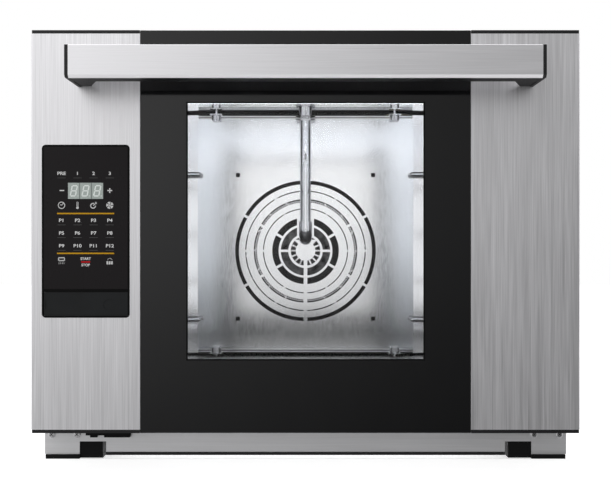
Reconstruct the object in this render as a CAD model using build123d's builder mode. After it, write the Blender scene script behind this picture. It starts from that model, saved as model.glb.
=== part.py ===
from build123d import *
import os
from math import atan2, cos, degrees, hypot, radians, sin, sqrt

os.makedirs("parts", exist_ok=True)

# Countertop convection oven with a drop-down door, in millimetres. The origin is on the surface
# it stands on, in the middle of its width and depth. +X is to the right, +Y to the back, +Z up.

# Overall size
overall_width = 602.6
overall_depth = 669.0
handle_reach = 67.0
inlet_reach = 18.0
face_y = handle_reach - overall_depth / 2
rear_y = overall_depth / 2 - inlet_reach

# Door
door_thickness = 50.0
door_bottom = 38.3
door_height = 442.4
door_gap = 5.0
column_width = 119.8
column_sheet = 1.0
column_lip = 13.0
column_return = 7.0
column_bend = 1.6
cap_height = 3.9
cap_inset = 0.7
pan_sheet = 1.2
window_side = 31.5
window_rise = 58.7
window_drop = 56.7
outer_glass_thickness = 5.0
outer_glass_recess = 0.5
inner_glass_thickness = 4.0
inner_glass_recess = 0.6
inner_glass_side = 31.3
inner_glass_rise = 27.7
inner_glass_drop = 16.7
clip_size = 18.0
clip_overlap = 6.0
clip_sheet = 1.0
led_side = 30.0
led_height = 11.8
led_depth = 10.0
led_behind = 8.0

# Door handle
handle_side = 51.35
bar_height = 34.2
bar_depth = 29.0
bar_drop = 62.4
bar_bevel = 3.0
bar_cover = 6.0
bar_wall = 2.0
end_plate = 3.9
foot_wide = 24.0
foot_narrow = 11.0

# Control panel in the left column
panel_width = 96.5
panel_height = 189.9
panel_side = 12.0
panel_rise = 126.7
panel_radius = 4.4
panel_proud = 0.6
panel_flange = 4.0
panel_depth = 12.0
panel_border = 2.0
flap_height = 26.3
flap_thickness = 2.0
flap_pin_radius = 0.6
seam_height = 3.0
touch_thickness = 2.0
display_width = 38.5
display_height = 17.7
display_inset = 48.1
display_rise = 139.25
dimple_radius = 6.6
dimple_inset = 74.1
grip_rise = 14.0
socket_width = 14.0
socket_height = 7.0
socket_inset = 39.3
board_thickness = 1.6
board_back = 8.0

# Cabinet
cabinet_side = 2.1
cabinet_drop = 2.7
skin = 1.0
frame_sheet = 1.2
frame_rise = 0.6
foot_height = 20.0
foot_width = 65.2
foot_depth = 60.0
foot_inset = 1.5
foot_bottom = 0.6
pad_height = 4.8
pad_ahead = 3.0
leg_width = 40.0
screw_rise = 8.3
screw_insets = (8.1, 37.2)
tray_wall = 14.0
skirt_bottom = 5.6
skirt_gap = 3.4
trim_height = 3.8
trim_wall = 0.8
side_bottom = 7.0
fold = 14.0
harness_inset = 49.8
harness_width = 51.1
harness_bottom = 27.0
harness_tab_bottom = 24.7
louvre_columns = 3
louvre_rows = 9
louvre_across = 78.0
louvre_up = 15.0
louvre_length = 62.0
louvre_width = 4.0
grille_slots = 12
grille_radius = 30.0
grille_slot_length = 22.0
grille_slot_width = 5.0

# Cavity
side_wall = 59.2
roof_space = 37.0
rear_compartment = 104.0
cavity_floor_z = 81.0
mouth_radius = 8.0
liner = 1.0
gasket_width = 15.0
gasket_inset = 3.0
wool_gap = 5.0
pipe_channel = 8.8
insulation_bottom = 29.0
insulation_back = 33.0
insulation_margin = 20.0

# Air deflector with its fan guard
deflector_ahead = 60.0
deflector_sheet = 1.2
deflector_clearance = 3.5
deflector_side = 28.0
wing_width = 52.0
wing_back = 11.0
tab_length = 18.0
tab_width = 18.0
tab_inset = 28.4
square_hole = 6.0
square_hole_inset = 59.6
guard_bar = 3.7
spoke_width = 5.5
hub_sector = 90.0
pipe_strip = 25.2
# Rings of slots from the outside in: radii, how many bars cross each, and where its first bar is
ring_outer = (104.5, 89.5, 76.9, 63.2, 49.5, 36.6, 21.9)
ring_inner = (98.9, 87.9, 72.0, 61.7, 40.0, 25.6, 14.6)
ring_bar_counts = (6, 6, 6, 6, 6, 4, 2)
ring_first_bar = (30.0, 0.0, 30.0, 0.0, 30.0, 0.0, 90.0)

# Fan, its motor and the heating rings
fan_rise = 155.0
wheel_radius = 96.0
wheel_clearance = 8.8
wheel_behind = 10.0
wheel_sheet = 2.0
blade_count = 16
blade_inner = 62.0
hub_radius = 16.0
hub_rib_count = 16
hub_rib_inner = 13.0
hub_rib_outer = 26.0
hub_rib_width = 2.4
hub_rib_lead = 2.0
shaft_radius = 6.0
shaft_reach = 30.0
fan_nut_radius = 11.0
fan_nut_height = 6.0
motor_radius = 50.0
motor_length = 55.0
motor_flange_radius = 62.0
motor_flange = 4.0
spacer_radius = 5.0
spacer_circle = 46.0
ring_radii = (112.0, 124.0)
ring_back = (42.0, 28.0)
ring_tube = 4.0
ring_gap = 24.0

# Steam pipe
pipe_radius = 8.0
pipe_bore = 6.5
pipe_ahead = 16.0
pipe_bend = 14.0
pipe_above = 15.0
elbow_rise = 18.5
sleeve_radius = 9.5
sleeve_rise = 43.2
nut_height = 7.8
nut_radius = 14.1
collar_radius = 10.5
collar_height = 6.6
water_radius = 3.0
water_bend = 12.0

# Side racks for four trays
rack_wire = 3.0
rack_post_inset = 5.5
rack_rail_inset = 10.5
rack_front = 20.0
rack_back = 17.0
rail_first = 31.0
rail_pitch = 75.0
rail_count = 4
stop_radius = 3.5
stop_inset = 6.5
stop_heights = (54.2, 267.6)

# Door hinges
door_swing = 90.0
hinge_inset = 32.3
pivot_ahead = 9.0
pivot_rise = 8.7
hinge_pin_radius = 3.0
running_gap = 0.05
pressed_gap = 0.02
arm_thickness = 5.0
arm_eye = 7.0
arm_tail = 35.0
arm_plate_width = 28.0
arm_plate_height = 34.0
arm_plate_thickness = 3.0
lever_length = 12.0
lever_rise = 2.5
lever_radius = 4.0
channel_inside = 18.0
channel_sheet = 2.0
rod_room = 8.4
guide_thickness = 2.0
abutment_thickness = 3.0
rod_radius = 4.0
rod_ahead = 19.0
rod_head = 6.0
rod_collar = 4.0
rod_tail = 9.3
rod_gap = 0.6
spring_wire = 2.8
spring_radius = 6.0
spring_turns = 11
spring_length = 70.0

# Vent, water inlet, cable gland and what stands in the rear compartment
vent_inset = 100.0
vent_ahead = 30.0
vent_radius = 21.0
vent_bore = 19.0
vent_rise = 24.0
vent_flange = 7.0
vent_flange_sheet = 1.5
inlet_inset = 99.2
inlet_drop = 98.0
inlet_radius = 13.2
inlet_neck = 12.4
inlet_bore = 9.0
valve_size = 36.0
valve_body = 42.0
valve_outlet_radius = 6.0
valve_outlet = 16.0
coil_width = 28.0
coil_depth = 30.0
coil_height = 32.0
gland_inset = 69.2
gland_rise = 42.0
gland_radius = 10.0
gland_bore = 5.5
gland_nut = 14.0
terminal_width = 60.0
terminal_depth = 28.0
terminal_height = 26.0
terminal_behind = 42.0
cooler_inset = 139.2
cooler_drop = 98.0
cooler_size = 92.0
cooler_depth = 25.0
cooler_hub = 17.0
cooler_blades = 7
spindle_radius = 2.0
power_inset = 49.2
power_width = 160.0
power_top = 200.0
power_behind = 20.0
relay_count = 4
relay_pitch = 36.0
relay_width = 28.0
relay_height = 32.0
relay_depth = 15.4
relay_rise = 39.0
transformer_size = (50.0, 28.4, 45.0)
transformer_drop = 35.0
thermostat_inset = 149.2
thermostat_size = (32.0, 30.0, 38.0)
thermostat_button = 9.0
probe_inset = 90.0
probe_drop = 41.0
probe_radius = 2.5

# Small clearances
touch = 0.2
seal_gap = 0.3
screw_radius = 2.0
screw_head = 4.0
screw_head_height = 2.4

# Places that follow from the sizes above
half_width = overall_width / 2
half_cabinet = half_width - cabinet_side
half_cavity = half_cabinet - side_wall
cavity_width = 2 * half_cavity
door_top = door_bottom + door_height
door_back_y = face_y + door_thickness
front_y = door_back_y + door_gap
frame_back_y = front_y + frame_sheet
frame_bottom = foot_height - frame_rise
cabinet_top = door_top - cabinet_drop
cavity_back_y = rear_y - rear_compartment
cavity_ceiling_z = cabinet_top - roof_space
cavity_height = cavity_ceiling_z - cavity_floor_z
cavity_mid_z = cavity_floor_z + cavity_height / 2
insulation_top = roof_space - liner - touch - pipe_channel - skin
insulation_back_y = cavity_back_y + liner + touch + insulation_back
deflector_y = cavity_back_y - deflector_ahead
deflector_bottom = cavity_floor_z + deflector_clearance
deflector_top = cavity_ceiling_z - deflector_clearance
half_flat = half_cavity - deflector_side - wing_width
tab_x = half_flat - tab_inset
fan_z = cavity_floor_z + fan_rise
wheel_back = cavity_back_y - wheel_behind
shaft_end_y = wheel_back - shaft_reach
elbow_z = fan_z + elbow_rise
sleeve_top = fan_z + sleeve_rise
pipe_y = deflector_y - pipe_ahead
ring_back_y = insulation_back_y + 4.0
column_inner = half_width - column_width
inner_glass_back_y = door_back_y - inner_glass_recess
inner_glass_bottom = door_bottom + inner_glass_rise
inner_glass_top = door_top - inner_glass_drop
pan_back_y = inner_glass_back_y - inner_glass_thickness - touch
pan_front_y = pan_back_y - pan_sheet
glass_back_y = face_y + outer_glass_recess + outer_glass_thickness
half_window = column_inner - window_side
window_bottom = door_bottom + window_rise
window_top = door_top - window_drop
hinge_x = half_width - hinge_inset
pivot_y = door_back_y - pivot_ahead
pivot_z = door_bottom + pivot_rise
lever_tilt = -degrees(atan2(lever_rise, lever_length))
rod_travel = lever_length * radians(door_swing)
half_bar = half_width - handle_side - end_plate
bar_front_y = face_y - handle_reach
bar_cover_y = bar_front_y + bar_cover
bar_back_y = bar_front_y + bar_depth
bar_bottom = door_top - bar_drop
bar_top = bar_bottom + bar_height
panel_left = half_width - panel_side
panel_bottom = door_bottom + panel_rise
display_x = -panel_left + display_inset
display_z = panel_bottom + display_rise
vent_x = half_cavity - vent_inset
vent_y = cavity_back_y - vent_ahead
inlet_x = inlet_inset - half_cabinet
inlet_z = cabinet_top - inlet_drop
gland_x = gland_inset - half_cabinet
gland_z = foot_height + gland_rise
cooler_x = half_cabinet - cooler_inset
cooler_z = cabinet_top - cooler_drop
probe_x = probe_inset - half_cavity
probe_z = cavity_ceiling_z - probe_drop
floor_z = foot_height + skin


def upright(y):
    """Plane at depth y, seen from the front: local x is +X, local y is +Z, extrusion comes forward."""
    return Plane.XZ.offset(-y)


def span(side, low, high):
    """Span from low to high on the right side, or its mirror image on the left side."""
    return (side * low, side * high)


def block(x, y, z, mode=Mode.ADD):
    """Rectangular block between two corners, added to the part being built."""
    middle = ((x[0] + x[1]) / 2, (y[0] + y[1]) / 2, (z[0] + z[1]) / 2)
    with Locations(middle):
        Box(abs(x[1] - x[0]), abs(y[1] - y[0]), abs(z[1] - z[0]), mode=mode)


def area(x, z, mode=Mode.ADD):
    """Rectangle between two corners, added to the sketch being drawn."""
    with Locations(((x[0] + x[1]) / 2, (z[0] + z[1]) / 2)):
        Rectangle(abs(x[1] - x[0]), abs(z[1] - z[0]), mode=mode)


def rod(start, end, radius, mode=Mode.ADD):
    """Round rod between two points, added to the part being built."""
    run = Vector(*end) - Vector(*start)
    with Locations(Plane(origin=start, z_dir=run)):
        Cylinder(radius, run.length, align=(Align.CENTER, Align.CENTER, Align.MIN), mode=mode)


def keep(piece, name):
    """Label a finished piece and write its STEP file."""
    piece.part.label = name
    export_step(piece.part, f"parts/{name}.step")


# Front frame of the cabinet: one steel sheet with the cavity's mouth, hinge slots and corner legs
screw_spots = [
    (side * (half_cabinet - inset), frame_bottom + screw_rise) for side in (-1, 1) for inset in screw_insets
]
with BuildPart() as front_frame:
    with BuildSketch(upright(frame_back_y)):
        area((-half_cabinet, half_cabinet), (frame_bottom, cabinet_top))
        for side in (-1, 1):
            area(span(side, half_cabinet - leg_width, half_cabinet), (pad_height, frame_bottom))
        with Locations((0, cavity_mid_z)):
            RectangleRounded(cavity_width, cavity_height, mouth_radius, mode=Mode.SUBTRACT)
        with Locations((-hinge_x, pivot_z), (hinge_x, pivot_z)):
            Rectangle(arm_thickness + 4, 2 * arm_eye + 3, mode=Mode.SUBTRACT)
        with Locations(*screw_spots):
            Circle(screw_radius + touch, mode=Mode.SUBTRACT)
    extrude(amount=frame_sheet)
keep(front_frame, "front_frame")

# Side panels, folded inwards at the front, the back and the top
panel_top = cabinet_top - skin - touch


def side_panel(side):
    with BuildPart() as panel:
        inner = half_cabinet - skin
        y_span = (frame_back_y + touch, rear_y - skin)
        block(span(side, inner, half_cabinet), y_span, (side_bottom, panel_top))
        flange = span(side, half_cabinet - fold, inner)
        block(flange, (y_span[0], y_span[0] + skin), (foot_height + tray_wall + 2, panel_top))
        block(flange, (y_span[1] - skin, y_span[1]), (foot_height + tray_wall + 2, panel_top))
        block(flange, y_span, (panel_top - skin, panel_top))
    return panel


side_panel_left = side_panel(-1)
side_panel_right = side_panel(1)
keep(side_panel_left, "side_panel_left")
keep(side_panel_right, "side_panel_right")

# Top cover with turned-down edges and the hole for the vent
with BuildPart() as top_cover:
    block((-half_cabinet, half_cabinet), (frame_back_y, rear_y), (cabinet_top - skin, cabinet_top))
    lip_x = half_cabinet - fold - 1
    lip_z = (panel_top - fold, cabinet_top - skin)
    block((-lip_x, lip_x), (frame_back_y + touch, frame_back_y + touch + skin), lip_z)
    block((-lip_x, lip_x), (rear_y - 2 * skin - touch, rear_y - skin - touch), lip_z)
    with Locations((vent_x, vent_y, cabinet_top)):
        Hole(vent_radius + 1)
keep(top_cover, "top_cover")

# Back panel with louvre slots, the cooling fan's grille and holes for water and cable
with BuildPart() as back_panel:
    with BuildSketch(upright(rear_y)):
        area((-half_cabinet, half_cabinet), (foot_height + 2, cabinet_top - skin))
        with Locations((0, fan_z)):
            with GridLocations(louvre_across, louvre_up, louvre_columns, louvre_rows):
                SlotOverall(louvre_length, louvre_width, mode=Mode.SUBTRACT)
        with Locations((inlet_x, inlet_z)):
            Circle(inlet_radius + 0.5, mode=Mode.SUBTRACT)
        with Locations((gland_x, gland_z)):
            Circle(gland_radius + touch, mode=Mode.SUBTRACT)
        with Locations((cooler_x, cooler_z)):
            with PolarLocations(grille_radius, grille_slots):
                SlotOverall(grille_slot_length, grille_slot_width, mode=Mode.SUBTRACT)
    extrude(amount=skin)
keep(back_panel, "back_panel")

# Base tray under the cabinet, with a skirt between the feet
tray_half = half_cabinet - skin - touch
skirt_half = half_cabinet - foot_inset - foot_width - skirt_gap
tray_front = frame_back_y + seal_gap
tray_rear = rear_y - skin - seal_gap
with BuildPart() as base_tray:
    wall_top = foot_height + tray_wall
    block((-tray_half, tray_half), (tray_front, tray_rear), (foot_height, floor_z))
    for y in (tray_front, tray_rear - skin):
        block((-tray_half, tray_half), (y, y + skin), (foot_height, wall_top))
        block((-skirt_half, skirt_half), (y, y + skin), (skirt_bottom, foot_height))
    for side in (-1, 1):
        block(span(side, tray_half - skin, tray_half), (tray_front, tray_rear), (foot_height, wall_top))
    for x, z in screw_spots:
        rod((x, tray_front - 1, z), (x, tray_front + skin + 1, z), screw_radius + touch, Mode.SUBTRACT)
keep(base_tray, "base_tray")

# Black rubber strip, a U in section, pushed over the lower edge of the skirt at the front
with BuildPart() as base_trim:
    trim_top = skirt_bottom + trim_height / 2 - 0.4
    slot_y = (tray_front - touch, tray_front + skin + touch)
    strip_y = (slot_y[0] - trim_wall, slot_y[1] + trim_wall)
    block((-skirt_half, skirt_half), strip_y, (trim_top - trim_height, trim_top))
    block((-skirt_half - 1, skirt_half + 1), slot_y, (skirt_bottom - touch, trim_top + 1), Mode.SUBTRACT)
keep(base_trim, "base_trim")

# Four moulded feet: a pad under each of the frame's legs, and a block beside and behind the leg
with BuildPart() as feet:
    outer = half_cabinet - foot_inset
    inner = outer - foot_width
    step = half_cabinet - leg_width - seal_gap
    foot_back = front_y + foot_depth
    ahead = (front_y + seal_gap, foot_back)
    behind = (frame_back_y + seal_gap, foot_back)
    for side in (-1, 1):
        block(span(side, step, outer), (front_y - pad_ahead, foot_back), (0, pad_height))
        block(span(side, inner, step), ahead, (foot_bottom, frame_bottom - touch))
        block(span(side, inner, outer), behind, (foot_bottom, foot_height))
    mirror(about=Plane.XZ.offset(-(front_y + rear_y) / 2))
keep(feet, "feet")

# Pan-head screws that hold the front frame to the base tray
with BuildPart() as frame_screws:
    for x, z in screw_spots:
        rod((x, front_y - screw_head_height, z), (x, front_y, z), screw_head)
        rod((x, front_y, z), (x, front_y + 9, z), screw_radius)
    rims = frame_screws.edges().filter_by(GeomType.CIRCLE).group_by(Axis.Y)[0]
    fillet(rims, 1.4)
keep(frame_screws, "frame_screws")

# Cover over the door's wiring, on the frame under the left column, with two tabs at its lower edge
with BuildPart() as harness_cover:
    left = harness_inset - half_width
    tab_z = (harness_tab_bottom, harness_bottom)
    with BuildSketch(upright(front_y)):
        area((left, left + harness_width), (harness_bottom, door_bottom - 2))
        area((left + 5, left + 13), tab_z)
        area((left + 21, left + harness_width), tab_z)
    extrude(amount=door_gap - 2 * seal_gap)
    lower_right = harness_cover.edges().filter_by(Axis.Y).sort_by(Axis.Z)[:4].sort_by(Axis.X)[-1]
    fillet(lower_right, 1.5)
keep(harness_cover, "harness_cover")

# Rubber gasket around the mouth, just clear of the closed door's inner glass
with BuildPart() as door_gasket:
    gasket_front = inner_glass_back_y + seal_gap
    with BuildSketch(upright(front_y)):
        with Locations((0, cavity_mid_z)):
            wide = cavity_width + 2 * gasket_inset
            high = cavity_height + 2 * gasket_inset
            rim = 2 * gasket_width
            RectangleRounded(wide + rim, high + rim, mouth_radius + gasket_width)
            RectangleRounded(wide, high, mouth_radius, mode=Mode.SUBTRACT)
    extrude(amount=front_y - gasket_front)
keep(door_gasket, "door_gasket")

# Cavity liner: floor, ceiling, two sides and back, welded edge to edge
liner_y = (frame_back_y, cavity_back_y + liner)
liner_half = half_cavity + liner
with BuildPart() as cavity_floor:
    block((-liner_half, liner_half), liner_y, (cavity_floor_z - liner, cavity_floor_z))
keep(cavity_floor, "cavity_floor")

with BuildPart() as cavity_ceiling:
    block((-liner_half, liner_half), liner_y, (cavity_ceiling_z, cavity_ceiling_z + liner))
    with Locations((0, pipe_y, cavity_ceiling_z + liner)):
        Hole(pipe_radius + touch)
    with Locations((vent_x, vent_y, cavity_ceiling_z + liner)):
        Hole(vent_bore)
keep(cavity_ceiling, "cavity_ceiling")


def cavity_side(side):
    with BuildPart() as panel:
        wall = span(side, half_cavity, liner_half)
        block(wall, (frame_back_y, cavity_back_y), (cavity_floor_z, cavity_ceiling_z))
    return panel


cavity_side_left = cavity_side(-1)
cavity_side_right = cavity_side(1)
keep(cavity_side_left, "cavity_side_left")
keep(cavity_side_right, "cavity_side_right")

ring_legs = []
for radius in ring_radii:
    for side in (-1, 1):
        turn = radians(90 + side * ring_gap / 2)
        ring_legs.append((radius * cos(turn), fan_z + radius * sin(turn)))
spacer_spots = [
    (spacer_circle * cos(radians(a)), fan_z + spacer_circle * sin(radians(a))) for a in (45, 135, 225, 315)
]

with BuildPart() as cavity_back:
    with BuildSketch(upright(cavity_back_y + liner)):
        area((-liner_half, liner_half), (cavity_floor_z, cavity_ceiling_z))
        with Locations((0, fan_z)):
            Circle(shaft_radius + 3, mode=Mode.SUBTRACT)
        with Locations(*ring_legs):
            Circle(ring_tube + touch, mode=Mode.SUBTRACT)
        with Locations((probe_x, probe_z)):
            Circle(probe_radius + touch, mode=Mode.SUBTRACT)
    extrude(amount=liner)
keep(cavity_back, "cavity_back")

# Mineral wool slabs around the cavity
with BuildPart() as insulation:
    slab_y = (frame_back_y + insulation_margin, cavity_back_y + liner)
    slab_x = (-liner_half, liner_half)
    top_z = cavity_ceiling_z + liner + touch
    block(slab_x, slab_y, (top_z, top_z + insulation_top))
    with Locations((0, pipe_y, top_z + insulation_top)):
        Hole(pipe_radius + 4)
    with Locations((vent_x, vent_y, top_z + insulation_top)):
        Hole(vent_radius + vent_flange + 1)
    bottom_z = cavity_floor_z - liner - touch
    block(slab_x, slab_y, (bottom_z - insulation_bottom, bottom_z))
    for side in (-1, 1):
        wall = span(side, liner_half + touch, half_cabinet - fold - wool_gap)
        block(wall, slab_y, (cavity_floor_z - 20, cavity_ceiling_z + 20))
    back_y = (cavity_back_y + liner + touch, insulation_back_y)
    block((-half_cavity, half_cavity), back_y, (cavity_floor_z, cavity_ceiling_z))
    wool_holes = [(0, fan_z, shaft_radius + 8)]
    wool_holes += [(x, z, ring_tube + 1.5) for x, z in ring_legs]
    wool_holes += [(x, z, spacer_radius + 2) for x, z in spacer_spots]
    wool_holes += [(probe_x, probe_z, probe_radius + 7)]
    for x, z, radius in wool_holes:
        rod((x, back_y[0] - 0.1, z), (x, back_y[1] + 1, z), radius, Mode.SUBTRACT)
keep(insulation, "insulation")

# Air deflector: bent sheet with the fan guard cut in it and four tabs for its thumb screws
with BuildPart() as deflector:
    tip = half_flat + wing_width
    square_hole_x = half_flat - square_hole_inset
    with BuildSketch(Plane.XY.offset(deflector_bottom)):
        with BuildLine():
            back = deflector_y + deflector_sheet
            Polyline(
                (-tip, deflector_y + wing_back), (-half_flat, deflector_y), (half_flat, deflector_y),
                (tip, deflector_y + wing_back), (tip, back + wing_back), (half_flat, back),
                (-half_flat, back), (-tip, back + wing_back), (-tip, deflector_y + wing_back),
            )
        make_face()
    extrude(amount=deflector_top - deflector_bottom)
    with BuildSketch(upright(deflector_y + 2 * deflector_sheet)):
        with Locations((0, fan_z)):
            for inner, outer in zip(ring_inner, ring_outer):
                Circle(outer)
                Circle(inner, mode=Mode.SUBTRACT)
            for inner, outer, bars, first in zip(ring_inner, ring_outer, ring_bar_counts, ring_first_bar):
                with PolarLocations((inner + outer) / 2, bars, start_angle=first):
                    Rectangle(outer - inner + 2, guard_bar, mode=Mode.SUBTRACT)
        lowest = fan_z - ring_outer[0] - 2
        area((-spoke_width / 2, spoke_width / 2), (lowest, fan_z), mode=Mode.SUBTRACT)
        # The smallest ring of slots stops short of the steam pipe
        with BuildLine():
            reach = ring_outer[-1] + 1.5
            corner = reach * sin(radians(hub_sector / 2))
            Polyline((0, fan_z), (corner, fan_z + corner), (-corner, fan_z + corner), (0, fan_z))
        make_face(mode=Mode.SUBTRACT)
        # Behind the pipe a straight strip of the sheet crosses the next two rings
        strip = (fan_z + ring_outer[-1], fan_z + ring_outer[-3] + 1)
        area((-pipe_strip / 2, pipe_strip / 2), strip, mode=Mode.SUBTRACT)
        for x in (-square_hole_x, square_hole_x):
            for height in stop_heights:
                with Locations((x, cavity_floor_z + height)):
                    Rectangle(square_hole, square_hole)
        with Locations((0, elbow_z)):
            Circle(sleeve_radius + touch)
    extrude(amount=4 * deflector_sheet, mode=Mode.SUBTRACT)
    hole_y = deflector_y - tab_length / 2
    for x in (-tab_x, tab_x):
        for z in (deflector_bottom, deflector_top - deflector_sheet):
            tab = (x - tab_width / 2, x + tab_width / 2)
            block(tab, (deflector_y - tab_length, deflector_y), (z, z + deflector_sheet))
        hole = ((x, hole_y, deflector_bottom - 1), (x, hole_y, deflector_top + 1))
        rod(*hole, screw_radius + touch, Mode.SUBTRACT)
keep(deflector, "deflector")

# Thumb screws that hold the deflector's tabs to the ceiling and the floor
with BuildPart() as deflector_screws:
    head_radius = 7.2
    head_height = 8.5
    y = deflector_y - tab_length / 2
    for x in (-tab_x, tab_x):
        for edge, wall, way in (
            (deflector_bottom + deflector_sheet, cavity_floor_z, 1),
            (deflector_top - deflector_sheet, cavity_ceiling_z, -1),
        ):
            rod((x, y, edge), (x, y, edge + way * head_height), head_radius)
            rod((x, y, edge), (x, y, wall), screw_radius)
    rims = deflector_screws.edges().filter_by(GeomType.CIRCLE).filter_by(lambda e: e.radius > 5)
    fillet(rims, 1.2)
keep(deflector_screws, "deflector_screws")

# Two ring heating elements, each with both ends led back through the cavity's back wall
with BuildPart() as heating_element:
    for radius, back in zip(ring_radii, ring_back):
        y = cavity_back_y - back
        start = 90 + ring_gap / 2
        ends = []
        for turn in (radians(start), radians(start + 360 - ring_gap)):
            ends.append((radius * cos(turn), y, fan_z + radius * sin(turn)))
        with BuildSketch(Plane(origin=ends[0], x_dir=(cos(radians(start)), 0, sin(radians(start))),
                               z_dir=(-sin(radians(start)), 0, cos(radians(start))))):
            Circle(ring_tube)
        revolve(axis=Axis((0, y, fan_z), (0, -1, 0)), revolution_arc=360 - ring_gap)
        for x, end_y, z in ends:
            with Locations((x, end_y, z)):
                Sphere(ring_tube + 0.5)
            rod((x, end_y, z), (x, ring_back_y, z), ring_tube)
keep(heating_element, "heating_element")

# Steam pipe: down from the ceiling, then back through the guard to the fan's hub
pipe_top = cavity_ceiling_z + liner + pipe_above


def pipe_route(top, end_y):
    with BuildLine() as route:
        FilletPolyline((0, pipe_y, top), (0, pipe_y, elbow_z), (0, end_y, elbow_z), radius=pipe_bend)
    return route.line


with BuildPart() as steam_pipe:
    route = pipe_route(pipe_top, shaft_end_y)
    with BuildSketch(Plane.XY.offset(pipe_top)):
        with Locations((0, pipe_y)):
            Circle(pipe_radius)
    sweep(path=route)
    sleeve = pipe_route(sleeve_top, deflector_y + deflector_sheet)
    with BuildSketch(Plane.XY.offset(sleeve_top)):
        with Locations((0, pipe_y)):
            Circle(sleeve_radius)
    sweep(path=sleeve)
    with BuildSketch(Plane.XY.offset(pipe_top)):
        with Locations((0, pipe_y)):
            Circle(pipe_bore)
    sweep(path=route, mode=Mode.SUBTRACT)
keep(steam_pipe, "steam_pipe")

# Union nut that holds the steam pipe to the ceiling
with BuildPart() as steam_pipe_nut:
    nut_z = cavity_ceiling_z - collar_height - nut_height
    with BuildSketch(Plane.XY.offset(nut_z)):
        with Locations((0, pipe_y)):
            RegularPolygon(nut_radius, 6)
    extrude(amount=nut_height)
    rod((0, pipe_y, nut_z + nut_height), (0, pipe_y, cavity_ceiling_z), collar_radius)
    rod((0, pipe_y, nut_z - 1), (0, pipe_y, cavity_ceiling_z + 1), pipe_radius + touch, Mode.SUBTRACT)
keep(steam_pipe_nut, "steam_pipe_nut")


# Side rack: two posts, four rails, wall pegs and two tray stops at the back
def side_rack(side):
    with BuildPart() as rack:
        stop_x = side * (half_flat - stop_inset + stop_radius)
        post_x = side * (half_cavity - rack_post_inset)
        rail_x = side * (half_cavity - rack_rail_inset)
        wall_x = side * (half_cavity - seal_gap)
        y_front = frame_back_y + rack_front
        y_back = deflector_y - rack_back
        low = cavity_floor_z + 8
        high = cavity_ceiling_z - 8
        for y in (y_front, y_back):
            rod((post_x, y, low), (post_x, y, high), rack_wire)
            for z in (low + 10, high - 10):
                rod((post_x, y, z), (wall_x, y, z), rack_wire)
        for level in range(rail_count):
            z = cavity_floor_z + rail_first + level * rail_pitch
            rod((rail_x, y_front - 8, z), (rail_x, y_back + 4, z), rack_wire)
        for height in stop_heights:
            z = cavity_floor_z + height
            rod((post_x, y_back, z), (stop_x, y_back, z), stop_radius)
            with Locations((stop_x, y_back, z)):
                Sphere(stop_radius)
    return rack


rack_left = side_rack(-1)
rack_right = side_rack(1)
keep(rack_left, "rack_left")
keep(rack_right, "rack_right")

# Fan motor on four spacers behind the cavity, with a bearing bore for its shaft
motor_front = insulation_back_y + 1.0
motor_bore_end = motor_front + motor_flange + motor_length - 12
with BuildPart() as fan_motor:
    rod((0, motor_front, fan_z), (0, motor_front + motor_flange, fan_z), motor_flange_radius)
    can_y = motor_front + motor_flange
    rod((0, can_y, fan_z), (0, can_y + motor_length, fan_z), motor_radius)
    rims = fan_motor.edges().filter_by(GeomType.CIRCLE).group_by(Axis.Y)[-1]
    fillet(rims, 5)
    for x, z in spacer_spots:
        rod((x, cavity_back_y + liner, z), (x, motor_front, z), spacer_radius)
    bore = shaft_radius + running_gap
    rod((0, motor_front - 1, fan_z), (0, motor_bore_end, fan_z), bore, Mode.SUBTRACT)
keep(fan_motor, "fan_motor")

# Motor shaft, threaded end to the front
with BuildPart() as motor_shaft:
    rod((0, shaft_end_y, fan_z), (0, motor_bore_end - 1, fan_z), shaft_radius)
keep(motor_shaft, "motor_shaft")

# Fan wheel: back disc, slanted blades and ribbed hub
disc_y = wheel_back - wheel_sheet
wheel_depth = disc_y - wheel_clearance - deflector_y - deflector_sheet
hub_front = shaft_end_y + fan_nut_height
with BuildPart() as fan_wheel:
    rod((0, disc_y, fan_z), (0, wheel_back, fan_z), wheel_radius)
    with BuildSketch(upright(disc_y)):
        with Locations((0, fan_z)):
            with PolarLocations((blade_inner + wheel_radius) / 2 - 2, blade_count):
                Rectangle(wheel_radius - blade_inner, wheel_sheet, rotation=35)
    extrude(amount=wheel_depth)
    rod((0, hub_front, fan_z), (0, disc_y, fan_z), hub_radius)
    with BuildSketch(upright(disc_y)):
        with Locations((0, fan_z)):
            with PolarLocations((hub_rib_inner + hub_rib_outer) / 2, hub_rib_count):
                Rectangle(hub_rib_outer - hub_rib_inner, hub_rib_width)
    extrude(amount=disc_y - hub_front + hub_rib_lead)
    bore = shaft_radius + running_gap
    rod((0, shaft_end_y, fan_z), (0, wheel_back + 1, fan_z), bore, Mode.SUBTRACT)
keep(fan_wheel, "fan_wheel")

# Nut on the shaft's end
with BuildPart() as fan_nut:
    with BuildSketch(upright(hub_front)):
        with Locations((0, fan_z)):
            RegularPolygon(fan_nut_radius, 6)
            Circle(shaft_radius + running_gap, mode=Mode.SUBTRACT)
    extrude(amount=fan_nut_height)
keep(fan_nut, "fan_nut")

# Vent stub from the cavity's ceiling up through the top cover
with BuildPart() as vent_stub:
    base = cavity_ceiling_z + liner
    outlet = cabinet_top + vent_rise
    rod((vent_x, vent_y, base), (vent_x, vent_y, base + vent_flange_sheet), vent_radius + vent_flange)
    rod((vent_x, vent_y, base), (vent_x, vent_y, cabinet_top), vent_radius - 0.5)
    rod((vent_x, vent_y, cabinet_top), (vent_x, vent_y, outlet), vent_radius)
    rod((vent_x, vent_y, base - 1), (vent_x, vent_y, outlet + 1), vent_bore, Mode.SUBTRACT)
keep(vent_stub, "vent_stub")

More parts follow.
